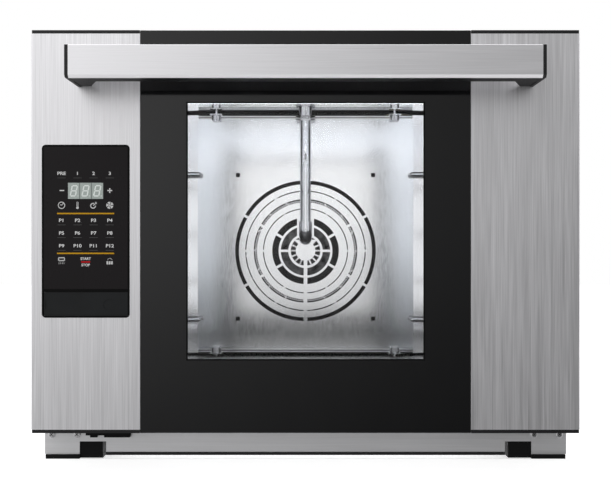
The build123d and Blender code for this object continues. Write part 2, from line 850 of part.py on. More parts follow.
# Water valve on the back panel: threaded inlet outside, body and outlet inside
valve_half = valve_size / 2
valve_front = rear_y - skin - valve_body
valve_y = valve_front + valve_body / 2 - 1
valve_bottom = inlet_z - valve_half
outlet_top = inlet_z + valve_half + valve_outlet
with BuildPart() as water_valve:
    body_x = (inlet_x - valve_half, inlet_x + valve_half)
    block(body_x, (valve_front, rear_y - skin), (valve_bottom, inlet_z + valve_half))
    rod((inlet_x, valve_y, inlet_z), (inlet_x, valve_y, outlet_top), valve_outlet_radius)
    coil_x = (inlet_x - coil_width / 2, inlet_x + coil_width / 2)
    block(coil_x, (valve_front + 4, valve_front + 4 + coil_depth), (valve_bottom - coil_height, valve_bottom))
    rod((inlet_x, rear_y - skin, inlet_z), (inlet_x, rear_y, inlet_z), inlet_neck)
    rod((inlet_x, rear_y, inlet_z), (inlet_x, rear_y + inlet_reach, inlet_z), inlet_radius)
    bore_span = ((inlet_x, rear_y - 12, inlet_z), (inlet_x, rear_y + inlet_reach + 1, inlet_z))
    rod(*bore_span, inlet_bore, Mode.SUBTRACT)
keep(water_valve, "water_valve")

# Water pipe over the insulation, from the valve to the top of the steam pipe
with BuildPart() as water_pipe:
    run_z = (cavity_ceiling_z + liner + touch + insulation_top + cabinet_top - skin) / 2
    with BuildLine() as route:
        FilletPolyline(
            (inlet_x, valve_y, outlet_top), (inlet_x, valve_y, run_z), (inlet_x, pipe_y, run_z),
            (0, pipe_y, run_z), (0, pipe_y, pipe_top), radius=water_bend,
        )
    with BuildSketch(Plane.XY.offset(outlet_top)):
        with Locations((inlet_x, valve_y)):
            Circle(water_radius)
    sweep(path=route.line)
keep(water_pipe, "water_pipe")

# Cable gland: threaded body through the back panel, lock nut inside, dome nut outside
with BuildPart() as cable_gland:
    inside_y = rear_y - skin
    rod((gland_x, inside_y - 12, gland_z), (gland_x, rear_y, gland_z), gland_radius)
    for nut_back, thickness in ((inside_y, 4), (rear_y + 8, 8)):
        with BuildSketch(upright(nut_back)):
            with Locations((gland_x, gland_z)):
                RegularPolygon(gland_nut, 6)
        extrude(amount=thickness)
    rod((gland_x, rear_y + 8, gland_z), (gland_x, rear_y + 16, gland_z), gland_radius)
    rod((gland_x, inside_y - 13, gland_z), (gland_x, rear_y + 17, gland_z), gland_bore, Mode.SUBTRACT)
keep(cable_gland, "cable_gland")

# Terminal block on the base tray, in front of the gland
with BuildPart() as terminal_block:
    block_x = (gland_x - terminal_width / 2, gland_x + terminal_width / 2)
    block_y = (rear_y - terminal_behind - terminal_depth, rear_y - terminal_behind)
    block_top = floor_z + terminal_height
    block(block_x, block_y, (floor_z, block_top))
    for slot in range(5):
        x = gland_x + (slot - 2) * terminal_width / 5
        block((x - 4, x + 4), (block_y[0] + 6, block_y[1] - 6), (block_top - 6, block_top + 1), Mode.SUBTRACT)
keep(terminal_block, "terminal_block")

# Power board on its foot, with relays and a transformer, in the rear compartment
with BuildPart() as power_board:
    power_right = half_cabinet - power_inset
    power_x = (power_right - power_width, power_right)
    power_y = insulation_back_y + power_behind
    parts_y = power_y + board_thickness
    block(power_x, (power_y, parts_y), (floor_z, power_top))
    block(power_x, (power_y - 12, power_y), (floor_z, floor_z + board_thickness))
    relay_z = (floor_z + relay_rise, floor_z + relay_rise + relay_height)
    for relay in range(relay_count):
        x = power_x[0] + 8 + relay * relay_pitch
        block((x, x + relay_width), (parts_y, parts_y + relay_depth), relay_z)
    wide, deep, high = transformer_size
    left = power_x[0] + 20
    top = power_top - transformer_drop
    block((left, left + wide), (parts_y, parts_y + deep), (top - high, top))
keep(power_board, "power_board")

# Safety thermostat on the base tray, with its reset button on top
with BuildPart() as safety_thermostat:
    wide, deep, high = thermostat_size
    case_x = (thermostat_inset - half_cabinet, thermostat_inset - half_cabinet + wide)
    case_y = (rear_y - 30 - deep, rear_y - 30)
    block(case_x, case_y, (floor_z, floor_z + high))
    button = ((case_x[0] + case_x[1]) / 2, (case_y[0] + case_y[1]) / 2)
    rod((*button, floor_z + high), (*button, floor_z + high + 8), thermostat_button)
keep(safety_thermostat, "safety_thermostat")

# Temperature probe through the cavity's back wall, with its collar against the wall
with BuildPart() as temperature_probe:
    probe_y = cavity_back_y + liner
    rod((probe_x, cavity_back_y - 35, probe_z), (probe_x, probe_y + 40, probe_z), probe_radius)
    rod((probe_x, probe_y, probe_z), (probe_x, probe_y + 5, probe_z), probe_radius + 5)
keep(temperature_probe, "temperature_probe")

# Frame of the axial fan that cools the rear compartment
cooler_back = rear_y - skin
cooler_front = cooler_back - cooler_depth
with BuildPart() as cooling_fan_frame:
    with BuildSketch(upright(cooler_back)):
        with Locations((cooler_x, cooler_z)):
            RectangleRounded(cooler_size, cooler_size, 4)
            Circle(cooler_size / 2 - 3, mode=Mode.SUBTRACT)
    extrude(amount=cooler_depth)
    with BuildSketch(upright(cooler_back)):
        with Locations((cooler_x, cooler_z)):
            Circle(cooler_hub - 1)
            with PolarLocations(cooler_size / 4 + 2, 4, start_angle=45):
                Rectangle(cooler_size / 2 - 2, 4)
    extrude(amount=3)
    hub_back = cooler_back - 3
    rod((cooler_x, cooler_front + 4, cooler_z), (cooler_x, hub_back, cooler_z), spindle_radius)
keep(cooling_fan_frame, "cooling_fan_frame")

# Rotor of that fan
with BuildPart() as cooling_fan_rotor:
    rotor_back = hub_back - 0.6
    rotor_front = cooler_front + 1.5
    rod((cooler_x, rotor_front, cooler_z), (cooler_x, rotor_back, cooler_z), cooler_hub)
    blade_length = cooler_size / 2 - 3 - cooler_hub - 1.5
    for blade in range(cooler_blades):
        turn = Location((cooler_x, (rotor_front + rotor_back) / 2, cooler_z)) * Location(
            (0, 0, 0), (0, 360 / cooler_blades * blade, 0)
        )
        with Locations(turn * Location((cooler_hub + blade_length / 2 - 1, 0, 0), (40, 0, 0))):
            Box(blade_length + 2, rotor_back - rotor_front - 5, 1.6)
    bore = spindle_radius + running_gap
    rod((cooler_x, rotor_front + 2.5, cooler_z), (cooler_x, rotor_back + 1, cooler_z), bore, Mode.SUBTRACT)
keep(cooling_fan_rotor, "cooling_fan_rotor")

# Hinge arms, fixed behind the front frame: plate, arm through the slot, eye and lever
with BuildPart() as hinge_arms:
    for x in (-hinge_x, hinge_x):
        with BuildSketch(Plane.YZ.offset(x - arm_thickness / 2)):
            with Locations((pivot_y, pivot_z)):
                Circle(arm_eye)
            area((pivot_y, frame_back_y + arm_tail), (pivot_z - arm_eye, pivot_z + arm_eye))
            with Locations((pivot_y - lever_length / 2, pivot_z + lever_rise / 2)):
                SlotCenterToCenter(hypot(lever_length, lever_rise), 2 * lever_radius, rotation=lever_tilt)
            with Locations((pivot_y, pivot_z)):
                Circle(hinge_pin_radius + running_gap, mode=Mode.SUBTRACT)
        extrude(amount=arm_thickness)
        plate_x = (x - arm_plate_width / 2, x + arm_plate_width / 2)
        plate_z = (foot_height + tray_wall + 1, foot_height + tray_wall + 1 + arm_plate_height)
        block(plate_x, (frame_back_y, frame_back_y + arm_plate_thickness), plate_z)
keep(hinge_arms, "hinge_arms")

# Hinge channels in the door's columns: U-shaped, with a guide bridge and a spring abutment
rod_y = door_back_y - rod_ahead
rod_bottom = pivot_z + lever_rise + lever_radius + seal_gap
guide_z = rod_bottom + rod_head + rod_travel + rod_gap
collar_z = guide_z + guide_thickness + rod_gap
spring_bottom = collar_z + rod_collar + touch
abutment_z = spring_bottom + spring_length + touch
rod_top = abutment_z + abutment_thickness + rod_tail
channel_bottom = door_bottom + cap_height + 0.7
channel_top = rod_top + rod_travel + 3
channel_half = channel_inside / 2 + channel_sheet
channel_y = rod_y - rod_room - channel_sheet
ear_back = door_back_y - 2.5
notch_top = inner_glass_bottom - 1.5
with BuildPart() as hinge_channels:
    for x in (-hinge_x, hinge_x):
        outside = (x - channel_half, x + channel_half)
        inside = (x - channel_inside / 2, x + channel_inside / 2)
        block(outside, (channel_y, pan_front_y), (channel_bottom, channel_top))
        block(outside, (pan_front_y, ear_back), (channel_bottom, notch_top - 1))
        hollow_y = (channel_y + channel_sheet, ear_back + 1)
        block(inside, hollow_y, (channel_bottom - 1, channel_top + 1), Mode.SUBTRACT)
        for z, thick in ((guide_z, guide_thickness), (abutment_z, abutment_thickness)):
            block(inside, (channel_y + channel_sheet, pan_front_y - 4), (z, z + thick))
            rod((x, rod_y, z - 1), (x, rod_y, z + thick + 1), rod_radius + touch, Mode.SUBTRACT)
        pin_span = ((x - channel_half - 1, pivot_y, pivot_z), (x + channel_half + 1, pivot_y, pivot_z))
        rod(*pin_span, hinge_pin_radius + pressed_gap, Mode.SUBTRACT)
keep(hinge_channels, "hinge_channels")

# Hinge pins, fixed in the channels and turning in the arms' eyes
with BuildPart() as hinge_pins:
    for x in (-hinge_x, hinge_x):
        rod((x - channel_half, pivot_y, pivot_z), (x + channel_half, pivot_y, pivot_z), hinge_pin_radius)
keep(hinge_pins, "hinge_pins")

# Spring rods: head over the arm's lever, collar under the spring
with BuildPart() as spring_rods:
    for x in (-hinge_x, hinge_x):
        rod((x, rod_y, rod_bottom), (x, rod_y, rod_top), rod_radius)
        rod((x, rod_y, rod_bottom), (x, rod_y, rod_bottom + rod_head), rod_radius + 1.5)
        rod((x, rod_y, collar_z), (x, rod_y, collar_z + rod_collar), rod_radius + 3)
keep(spring_rods, "spring_rods")

# Compression springs around the rods
with BuildPart() as hinge_springs:
    for x in (-hinge_x, hinge_x):
        coil_height = spring_length - spring_wire
        coil = Helix(
            pitch=coil_height / spring_turns, height=coil_height, radius=spring_radius,
            center=(x, rod_y, spring_bottom + spring_wire / 2),
        )
        with BuildSketch(Plane(coil @ 0, z_dir=coil % 0)):
            Circle(spring_wire / 2)
        sweep(path=coil, is_frenet=True)
keep(hinge_springs, "hinge_springs")

# Door pan: sheet behind the glass with a window tunnel and turned edges
pan_half = half_width - column_sheet - touch
pan_z = (door_bottom + cap_height + 0.5, door_top - cap_height - 0.5)
with BuildPart() as door_pan:
    with BuildSketch(upright(pan_back_y)):
        area((-pan_half, pan_half), pan_z)
        area((-half_window, half_window), (window_bottom, window_top), mode=Mode.SUBTRACT)
        for x in (-hinge_x, hinge_x):
            area((x - channel_half - 1, x + channel_half + 1), (pan_z[0] - 1, notch_top), mode=Mode.SUBTRACT)
    extrude(amount=pan_sheet)
    tunnel_y = (glass_back_y + touch, pan_back_y)
    for side in (-1, 1):
        wall = span(side, half_window, half_window + pan_sheet)
        block(wall, tunnel_y, (window_bottom - pan_sheet, window_top + pan_sheet))
        rim = span(side, half_width - column_lip - pan_sheet, half_width - column_lip)
        block(rim, (pan_back_y, door_back_y - column_sheet), (notch_top + 1, pan_z[1]))
        rim_y = (door_back_y - column_sheet - pan_sheet, door_back_y - column_sheet)
        block(span(side, half_width - column_lip - pan_sheet, pan_half), rim_y, (notch_top + 1, pan_z[1]))
    for z in (window_bottom - pan_sheet, window_top):
        block((-half_window, half_window), tunnel_y, (z, z + pan_sheet))
    for z in (pan_z[0], pan_z[1] - pan_sheet):
        block((-column_inner + 2, column_inner - 2), tunnel_y, (z, z + pan_sheet))
keep(door_pan, "door_pan")

# Outer glass between the columns, full height
glass_half = column_inner - touch
glass_z = (door_bottom + touch, door_top - touch)
with BuildPart() as outer_glass:
    glass_y = (face_y + outer_glass_recess, glass_back_y)
    block((-glass_half, glass_half), glass_y, glass_z)
    chamfer(outer_glass.faces().sort_by(Axis.Y)[0].edges(), 0.3)
keep(outer_glass, "outer_glass")

# Inner glass over the window and the gasket's landing
inner_half = half_width - inner_glass_side
with BuildPart() as inner_glass:
    with BuildSketch(upright(inner_glass_back_y)):
        with Locations((0, (inner_glass_bottom + inner_glass_top) / 2)):
            RectangleRounded(2 * inner_half, inner_glass_top - inner_glass_bottom, 6)
    extrude(amount=inner_glass_thickness)
keep(inner_glass, "inner_glass")

# Four spring clips over the inner glass's edges
with BuildPart() as glass_clips:
    for side in (-1, 1):
        for z in (inner_glass_bottom + 40, inner_glass_top - 40):
            clip_z = (z - clip_size / 2, z + clip_size / 2)
            edge = inner_half + touch
            lap = span(side, inner_half - clip_overlap, edge + clip_sheet)
            block(lap, (inner_glass_back_y + 0.1, inner_glass_back_y + 0.1 + clip_sheet), clip_z)
            wall = span(side, edge, edge + clip_sheet)
            block(wall, (pan_back_y, inner_glass_back_y + 0.1), clip_z)
            block(span(side, edge, edge + 10), (pan_back_y, pan_back_y + clip_sheet), clip_z)
keep(glass_clips, "glass_clips")

# Light bar at the top of the window tunnel
with BuildPart() as led_bar:
    led_y = glass_back_y + led_behind
    led_half = half_window - led_side
    block((-led_half, led_half), (led_y, led_y + led_depth), (window_top - led_height, window_top))
    lens = led_bar.edges().filter_by(Axis.X).sort_by(Axis.Z)[:2]
    chamfer(lens, 2)
keep(led_bar, "led_bar")


# Steel column of the door: front, outer side, back lip and a short return beside the glass
def column_shell(side):
    z_span = (door_bottom + cap_height, door_top - cap_height)
    block(span(side, column_inner, half_width), (face_y, door_back_y), z_span)


def column_hollow(side):
    z_span = (door_bottom, door_top)
    inside = span(side, column_inner + column_sheet, half_width - column_sheet)
    block(inside, (face_y + column_sheet, door_back_y - column_sheet), z_span, Mode.SUBTRACT)
    mouth = span(side, column_inner + column_sheet, half_width - column_lip)
    block(mouth, (door_back_y - 2 * column_sheet, door_back_y + 1), z_span, Mode.SUBTRACT)
    beside_glass = span(side, column_inner - 1, column_inner + column_sheet)
    block(beside_glass, (face_y + column_return, door_back_y + 1), z_span, Mode.SUBTRACT)


def outer_corners(column, side):
    edges = column.edges().filter_by(Axis.Z).sort_by(Axis.X)
    return edges[-2:] if side > 0 else edges[:2]


panel_mid_z = panel_bottom + panel_height / 2
panel_mid_x = -panel_left + panel_width / 2
with BuildPart() as left_column:
    column_shell(-1)
    fillet(outer_corners(left_column, -1), column_bend)
    column_hollow(-1)
    with BuildSketch(upright(face_y + 2 * column_sheet)):
        with Locations((panel_mid_x, panel_mid_z)):
            RectangleRounded(panel_width, panel_height, panel_radius)
    extrude(amount=3 * column_sheet, mode=Mode.SUBTRACT)
keep(left_column, "left_column")

with BuildPart() as right_column:
    column_shell(1)
    fillet(outer_corners(right_column, 1), column_bend)
    column_hollow(1)
keep(right_column, "right_column")

# Black caps on both ends of each column, slotted at the bottom for the hinge arms
with BuildPart() as door_end_caps:
    for side in (-1, 1):
        cap_x = span(side, column_inner + 0.5, half_width - cap_inset)
        cap_y = (face_y + cap_inset, door_back_y - cap_inset)
        plug_x = span(side, column_inner + 4, column_inner + 24)
        plug_y = (face_y + column_sheet + touch, face_y + column_sheet + 12)
        block(cap_x, cap_y, (door_bottom, door_bottom + cap_height))
        block(plug_x, plug_y, (door_bottom, door_bottom + cap_height + 6))
        block(cap_x, cap_y, (door_top - cap_height, door_top))
        block(plug_x, plug_y, (door_top - cap_height - 6, door_top))
        slot_x = span(side, hinge_x - arm_thickness / 2 - 1.5, hinge_x + arm_thickness / 2 + 1.5)
        slot_z = (door_bottom - 1, door_bottom + cap_height + 1)
        block(slot_x, (pivot_y - arm_eye - 2, door_back_y), slot_z, Mode.SUBTRACT)
    fillet(door_end_caps.edges().filter_by(Axis.Z).group_by(Axis.X)[0], 1.2)
    fillet(door_end_caps.edges().filter_by(Axis.Z).group_by(Axis.X)[-1], 1.2)
keep(door_end_caps, "door_end_caps")


def bar_section(back_y, inset=0.0, mode=Mode.ADD):
    """Section of the handle from its front, set in all round by inset, back to back_y."""
    low = bar_bottom + inset
    high = bar_top - inset
    front = bar_front_y + inset
    bevel = bar_bevel - (2 - sqrt(2)) * inset
    corners = ((front, high), (back_y, high), (back_y, low), (front + bevel, low), (front, low + bevel))
    Polygon(*corners, align=None, mode=mode)


# Front of the handle: aluminium profile, open to the back, with its lower front edge bevelled
with BuildPart() as handle_bar:
    with BuildSketch(Plane.YZ.offset(-half_bar)):
        bar_section(bar_cover_y)
        bar_section(bar_cover_y + 1, inset=bar_wall, mode=Mode.SUBTRACT)
    extrude(amount=2 * half_bar)
    upper_front = handle_bar.edges().filter_by(Axis.X).group_by(Axis.Y)[0].sort_by(Axis.Z)[-1]
    fillet(upper_front, 0.8)
keep(handle_bar, "handle_bar")

# End plates of the handle, from the bar's front back to the door
with BuildPart() as handle_caps:
    for x in (-half_bar - end_plate, half_bar):
        with BuildSketch(Plane.YZ.offset(x)):
            bar_section(face_y)
        extrude(amount=end_plate)
    outsides = handle_caps.faces().filter_by(Axis.X).sort_by(Axis.X)
    fillet(outsides[0].edges() + outsides[-1].edges(), 0.7)
keep(handle_caps, "handle_caps")

# Black back of the handle, filling the profile, with a foot at each end down to the door
with BuildPart() as handle_back:
    with BuildSketch(Plane.YZ.offset(-half_bar)):
        bar_section(bar_back_y, inset=bar_wall + touch)
        area((bar_cover_y + touch, bar_back_y), (bar_bottom + touch, bar_top - touch))
    extrude(amount=2 * half_bar)
    for side in (-1, 1):
        outer = side * half_bar
        wide_end = side * (half_bar - foot_wide)
        narrow_end = side * (half_bar - foot_narrow)
        with BuildSketch(Plane.XY.offset(bar_bottom + 0.7)):
            with BuildLine():
                Polyline(
                    (outer, bar_back_y), (outer, face_y), (narrow_end, face_y), (wide_end, bar_back_y),
                    (outer, bar_back_y),
                )
            make_face()
        extrude(amount=bar_height - 1.4)
keep(handle_back, "handle_back")

# Black bezel of the control panel, with a seat for the touch panel and a recess behind the flap
flap_z = (panel_bottom + panel_border, panel_bottom + panel_border + flap_height)
touch_z = (flap_z[1] + seam_height, panel_bottom + panel_height - panel_border)
seat_x = (-panel_left + panel_border, -panel_left + panel_width - panel_border)
bezel_front = face_y - panel_proud
flap_front = bezel_front + touch
flap_pin_x = seat_x[0] + touch + flap_thickness / 2
flap_pin_y = flap_front + flap_thickness / 2
recess_back = face_y + 8.4
grip_z = panel_bottom + grip_rise
usb_x = (-panel_left + socket_inset, -panel_left + socket_inset + socket_width)
usb_z = (grip_z - socket_height / 2, grip_z + socket_height / 2)
with BuildPart() as panel_bezel:
    with BuildSketch(upright(face_y + panel_depth)):
        with Locations((panel_mid_x, panel_mid_z)):
            RectangleRounded(panel_width - 2 * touch, panel_height - 2 * touch, panel_radius)
    extrude(amount=panel_depth + panel_proud)
    with BuildSketch(upright(face_y + column_sheet + touch + 1.5)):
        with Locations((panel_mid_x, panel_mid_z)):
            RectangleRounded(panel_width + 2 * panel_flange, panel_height + 2 * panel_flange, panel_radius + 3)
    extrude(amount=1.5)
    seat_back = flap_front + touch_thickness + touch
    block(seat_x, (bezel_front - 1, seat_back), touch_z, Mode.SUBTRACT)
    well_x = (seat_x[0] + 2, seat_x[1] - 2)
    well_z = (touch_z[0] + 3, touch_z[1] - 2)
    block(well_x, (bezel_front, face_y + panel_depth + 1), well_z, Mode.SUBTRACT)
    block(seat_x, (bezel_front - 1, recess_back), flap_z, Mode.SUBTRACT)
    socket_x = (usb_x[0] - touch, usb_x[1] + touch)
    socket_z = (usb_z[0] - touch, usb_z[1] + touch)
    block(socket_x, (bezel_front, face_y + panel_depth + 1), socket_z, Mode.SUBTRACT)
    pin_low = (flap_pin_x, flap_pin_y, flap_z[0] - 1.6)
    pin_high = (flap_pin_x, flap_pin_y, flap_z[1] + 1.6)
    rod(pin_low, pin_high, flap_pin_radius + running_gap, Mode.SUBTRACT)
keep(panel_bezel, "panel_bezel")

# Touch panel with a window for the display
with BuildPart() as touch_panel:
    plate_x = (seat_x[0] + touch, seat_x[1] - touch)
    plate_z = (touch_z[0] + touch, touch_z[1] - touch)
    block(plate_x, (flap_front, flap_front + touch_thickness), plate_z)
    half = (display_width / 2 + 0.1, display_height / 2 + 0.1)
    window_x = (display_x - half[0], display_x + half[0])
    window_z = (display_z - half[1], display_z + half[1])
    block(window_x, (flap_front - 1, flap_front + touch_thickness + 1), window_z, Mode.SUBTRACT)
keep(touch_panel, "touch_panel")

# Control board behind the touch panel, with the service socket's housing
board_y = face_y + board_back
with BuildPart() as control_board:
    board_x = (well_x[0] + 0.5, well_x[1] - 0.5)
    board_z = (well_z[0] + 0.5, well_z[1] - 0.5)
    block(board_x, (board_y, board_y + board_thickness), board_z)
    link_y = (face_y + panel_depth + touch, face_y + panel_depth + touch + board_thickness)
    block(usb_x, link_y, (usb_z[0], board_z[0] + 6))
    block(usb_x, (board_y, link_y[1]), (board_z[0], board_z[0] + 6))
    block(usb_x, (flap_front + flap_thickness + 1.2, link_y[1]), usb_z)
keep(control_board, "control_board")

# Display module, its face level with the touch panel
with BuildPart() as display:
    half = (display_width / 2, display_height / 2)
    face_x = (display_x - half[0], display_x + half[0])
    face_z = (display_z - half[1], display_z + half[1])
    block(face_x, (flap_front + 0.1, board_y), face_z)
keep(display, "display")

# Service flap, hinged at its left edge, with a finger dimple and the hinge's clearance notch
with BuildPart() as service_flap:
    flap_back = flap_front + flap_thickness
    low = flap_z[0] + touch
    high = flap_z[1] - touch
    block((flap_pin_x, seat_x[1] - touch), (flap_front, flap_back), (low, high))
    rod((flap_pin_x, flap_pin_y, low), (flap_pin_x, flap_pin_y, high), flap_thickness / 2)
    dimple_x = -panel_left + dimple_inset
    rod((dimple_x, flap_front - 1, grip_z), (dimple_x, flap_front + 0.4, grip_z), dimple_radius, Mode.SUBTRACT)
    notch_x = (flap_pin_x + 1.0, flap_pin_x + 2.0)
    block(notch_x, (flap_front - 1, flap_front + 0.5), (grip_z - 4.8, grip_z + 4.8), Mode.SUBTRACT)
    pin_hole = ((flap_pin_x, flap_pin_y, low - 1), (flap_pin_x, flap_pin_y, high + 1))
    rod(*pin_hole, flap_pin_radius + running_gap, Mode.SUBTRACT)
keep(service_flap, "service_flap")

# Pin of the flap's hinge
with BuildPart() as flap_pin:
    pin_z = (pin_low[2] + 0.1, pin_high[2] - 0.1)
    rod((flap_pin_x, flap_pin_y, pin_z[0]), (flap_pin_x, flap_pin_y, pin_z[1]), flap_pin_radius)
keep(flap_pin, "flap_pin")
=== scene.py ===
from math import cos, pi, radians, sin

import bmesh
import bpy
from mathutils import Matrix, Vector, noise


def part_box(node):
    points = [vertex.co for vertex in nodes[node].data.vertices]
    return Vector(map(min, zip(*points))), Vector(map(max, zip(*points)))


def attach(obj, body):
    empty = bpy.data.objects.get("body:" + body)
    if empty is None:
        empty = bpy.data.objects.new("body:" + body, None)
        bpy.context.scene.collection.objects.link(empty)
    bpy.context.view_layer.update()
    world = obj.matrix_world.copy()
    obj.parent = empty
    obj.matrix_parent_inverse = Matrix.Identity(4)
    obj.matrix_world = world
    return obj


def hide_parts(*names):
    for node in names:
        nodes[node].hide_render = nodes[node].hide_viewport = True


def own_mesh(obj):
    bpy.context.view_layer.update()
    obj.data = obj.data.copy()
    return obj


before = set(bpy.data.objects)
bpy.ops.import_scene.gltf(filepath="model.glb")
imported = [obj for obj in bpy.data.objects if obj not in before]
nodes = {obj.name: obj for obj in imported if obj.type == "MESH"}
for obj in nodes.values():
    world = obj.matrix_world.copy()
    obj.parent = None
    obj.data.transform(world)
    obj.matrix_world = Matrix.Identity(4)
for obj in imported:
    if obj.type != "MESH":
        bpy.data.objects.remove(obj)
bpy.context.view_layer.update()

scene = bpy.context.scene
MM = 0.001
fan_height = 236.0


def low(node):
    """Lowest corner of a CAD node, in millimetres."""
    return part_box(node)[0] / MM


def high(node):
    """Highest corner of a CAD node, in millimetres."""
    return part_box(node)[1] / MM


# Materials


class Finish:
    """A node material: its Principled shader, and short calls that add nodes and join them."""

    def __init__(self, name, color, metallic=0.0, roughness=0.5, **more):
        self.material = bpy.data.materials.new(name)
        self.material.use_nodes = True
        self.tree = self.material.node_tree
        self.shader = self.tree.nodes["Principled BSDF"]
        self.color = color
        self.set("Base Color", (*color, 1.0))
        self.set("Metallic", metallic)
        self.set("Roughness", roughness)
        for socket, value in more.items():
            self.set(socket.replace("_", " "), value)

    def set(self, socket, value):
        self.shader.inputs[socket].default_value = value

    def add(self, kind, **settings):
        node = self.tree.nodes.new("ShaderNode" + kind)
        for key, value in settings.items():
            setattr(node, key, value)
        return node

    def join(self, output, socket):
        self.tree.links.new(output, socket)

    def place(self, across=(1.0, 1.0, 1.0)):
        """Object coordinates divided by a feature size in millimetres along each axis."""
        coordinates = self.add("TexCoord")
        mapping = self.add("Mapping")
        mapping.inputs["Scale"].default_value = [1.0 / (size * MM) for size in across]
        self.join(coordinates.outputs["Object"], mapping.inputs["Vector"])
        return mapping.outputs["Vector"]

    def noise(self, across, detail=2.0, rough=0.5):
        """Cloudy value with its feature size in millimetres along each axis."""
        texture = self.add("TexNoise")
        texture.inputs["Scale"].default_value = 1.0
        texture.inputs["Detail"].default_value = detail
        texture.inputs["Roughness"].default_value = rough
        self.join(self.place(across), texture.inputs["Vector"])
        return texture.outputs["Fac"]

    def cells(self, size, feature="F1"):
        """Distance inside Voronoi cells of a size in millimetres."""
        texture = self.add("TexVoronoi", feature=feature)
        texture.inputs["Scale"].default_value = 1.0
        self.join(self.place((size, size, size)), texture.inputs["Vector"])
        return texture.outputs["Distance"]

    def off_axis(self, x, z):
        """Distance in millimetres from an axis along Y."""
        flat = self.add("VectorMath", operation="MULTIPLY_ADD")
        flat.inputs[1].default_value = (1.0, 0.0, 1.0)
        flat.inputs[2].default_value = (-x, 0.0, -z)
        self.join(self.place(), flat.inputs[0])
        length = self.add("VectorMath", operation="LENGTH")
        self.join(flat.outputs["Vector"], length.inputs[0])
        return length.outputs["Value"]

    def along(self, axis):
        """Place along one axis in millimetres."""
        parts = self.add("SeparateXYZ")
        self.join(self.place(), parts.inputs[0])
        return parts.outputs[axis]

    def spread(self, value, start, end, first=0.3, last=0.7):
        """Maps a value between first and last to a value between start and end."""
        node = self.add("MapRange")
        node.inputs["From Min"].default_value = first
        node.inputs["From Max"].default_value = last
        node.inputs["To Min"].default_value = start
        node.inputs["To Max"].default_value = end
        self.join(value, node.inputs["Value"])
        return node.outputs["Result"]

    def both(self, one, other, share=0.5):
        """Weighted sum of two values."""
        node = self.add("Mix", data_type="FLOAT")
        node.inputs[0].default_value = share
        self.join(one, node.inputs[2])
        self.join(other, node.inputs[3])
        return node.outputs[0]

    def tint(self, value, start, end, first=0.3, last=0.7):
        """Base colour that runs from start to end with the value."""
        node = self.add("Mix", data_type="RGBA")
        node.inputs[6].default_value = (*start, 1.0)
        node.inputs[7].default_value = (*end, 1.0)
        self.join(self.spread(value, 0.0, 1.0, first, last), node.inputs[0])
        self.join(node.outputs[2], self.shader.inputs["Base Color"])

    def rough(self, value, start, end, first=0.3, last=0.7):
        """Roughness that runs from start to end with the value."""
        self.join(self.spread(value, start, end, first, last), self.shader.inputs["Roughness"])

    def emboss(self, value, strength, depth):
        """Bump whose depth is in millimetres."""
        node = self.add("Bump")
        node.inputs["Strength"].default_value = strength
        node.inputs["Distance"].default_value = depth * MM
        self.join(value, node.inputs["Height"])
        self.join(node.outputs["Normal"], self.shader.inputs["Normal"])


def shade(color, factor):
    """Lighter or darker tone of a colour."""
    return tuple(min(1.0, part * factor) for part in color)


def brushed(name, color, along, roughness=0.36, contrast=0.06):
    """Metal with fine strokes along one axis and a few broad, cloudy ones."""
    finish = Finish(name, color, metallic=1.0, roughness=roughness)
    fine_size = [0.8] * 3
    broad_size = [4.5] * 3
    fine_size["XYZ".index(along)] = 70.0
    broad_size["XYZ".index(along)] = 260.0
    fine = finish.noise(fine_size, detail=3.0)
    broad = finish.noise(broad_size, detail=2.0)
    grain = finish.both(fine, broad, 0.35)
    finish.tint(grain, shade(color, 1 - contrast), shade(color, 1 + contrast))
    finish.rough(grain, roughness - 0.06, roughness + 0.08)
    finish.emboss(fine, 0.12, 0.02)
    return finish.material


def bright_steel(name, color, roughness, streak=0.03):
    """Smooth rolled steel with faint smears from cleaning and a fine grain of dull lines."""
    finish = Finish(name, color, metallic=1.0, roughness=roughness)
    smear = finish.noise((45.0, 30.0, 60.0), detail=4.0, rough=0.6)
    grain = finish.noise((0.5, 12.0, 12.0), detail=1.0)
    finish.tint(smear, shade(color, 1 - streak), shade(color, 1 + streak))
    finish.rough(grain, roughness * 0.8, roughness * 1.2, 0.4, 0.6)
    return finish.material


def fan_shade_and_glints(name, dark, dull, bright):
    """Fan wheel: near black as painted shade, with smoother rib fronts carrying a painted glint and painted
    glints mottled in a ring near the hub.
    """
    finish = Finish(name, dark, metallic=1.0, roughness=0.3)
    smear = finish.noise((9.0, 9.0, 9.0), detail=3.0)
    # Rib fronts get a painted glint in the bright tone; the rest of the wheel stays near black as painted
    # shade
    rib_front = high("fan_nut").y - 1.2
    front = finish.spread(finish.along("Y"), 1.0, 0.0, rib_front, rib_front + 0.6)
    radius = finish.off_axis(0.0, fan_height)
    # The ring near the hub gets painted glints, mottled by the smear
    glint_inner, glint_outer = 36.0, 44.0
    edge = finish.add("Mix", data_type="RGBA")
    edge.inputs[6].default_value = (*dull, 1.0)
    edge.inputs[7].default_value = (*bright, 1.0)
    finish.join(finish.spread(smear, 0.0, 1.0, 0.25, 0.5), edge.inputs[0])
    hub_glint = finish.both(finish.spread(radius, 1.0, 0.0, glint_inner, glint_outer), smear, 0.6)
    disc_tone = finish.add("Mix", data_type="RGBA")
    disc_tone.inputs[6].default_value = (*dark, 1.0)
    disc_tone.inputs[7].default_value = (*dull, 1.0)
    finish.join(finish.spread(hub_glint, 0.0, 1.0, 0.6, 0.85), disc_tone.inputs[0])
    whole = finish.add("Mix", data_type="RGBA")
    finish.join(front, whole.inputs[0])
    finish.join(disc_tone.outputs[2], whole.inputs[6])
    finish.join(edge.outputs[2], whole.inputs[7])
    finish.join(whole.outputs[2], finish.shader.inputs["Base Color"])
    finish.join(finish.spread(front, 0.45, 0.14, 0.0, 1.0), finish.shader.inputs["Roughness"])
    return finish.material


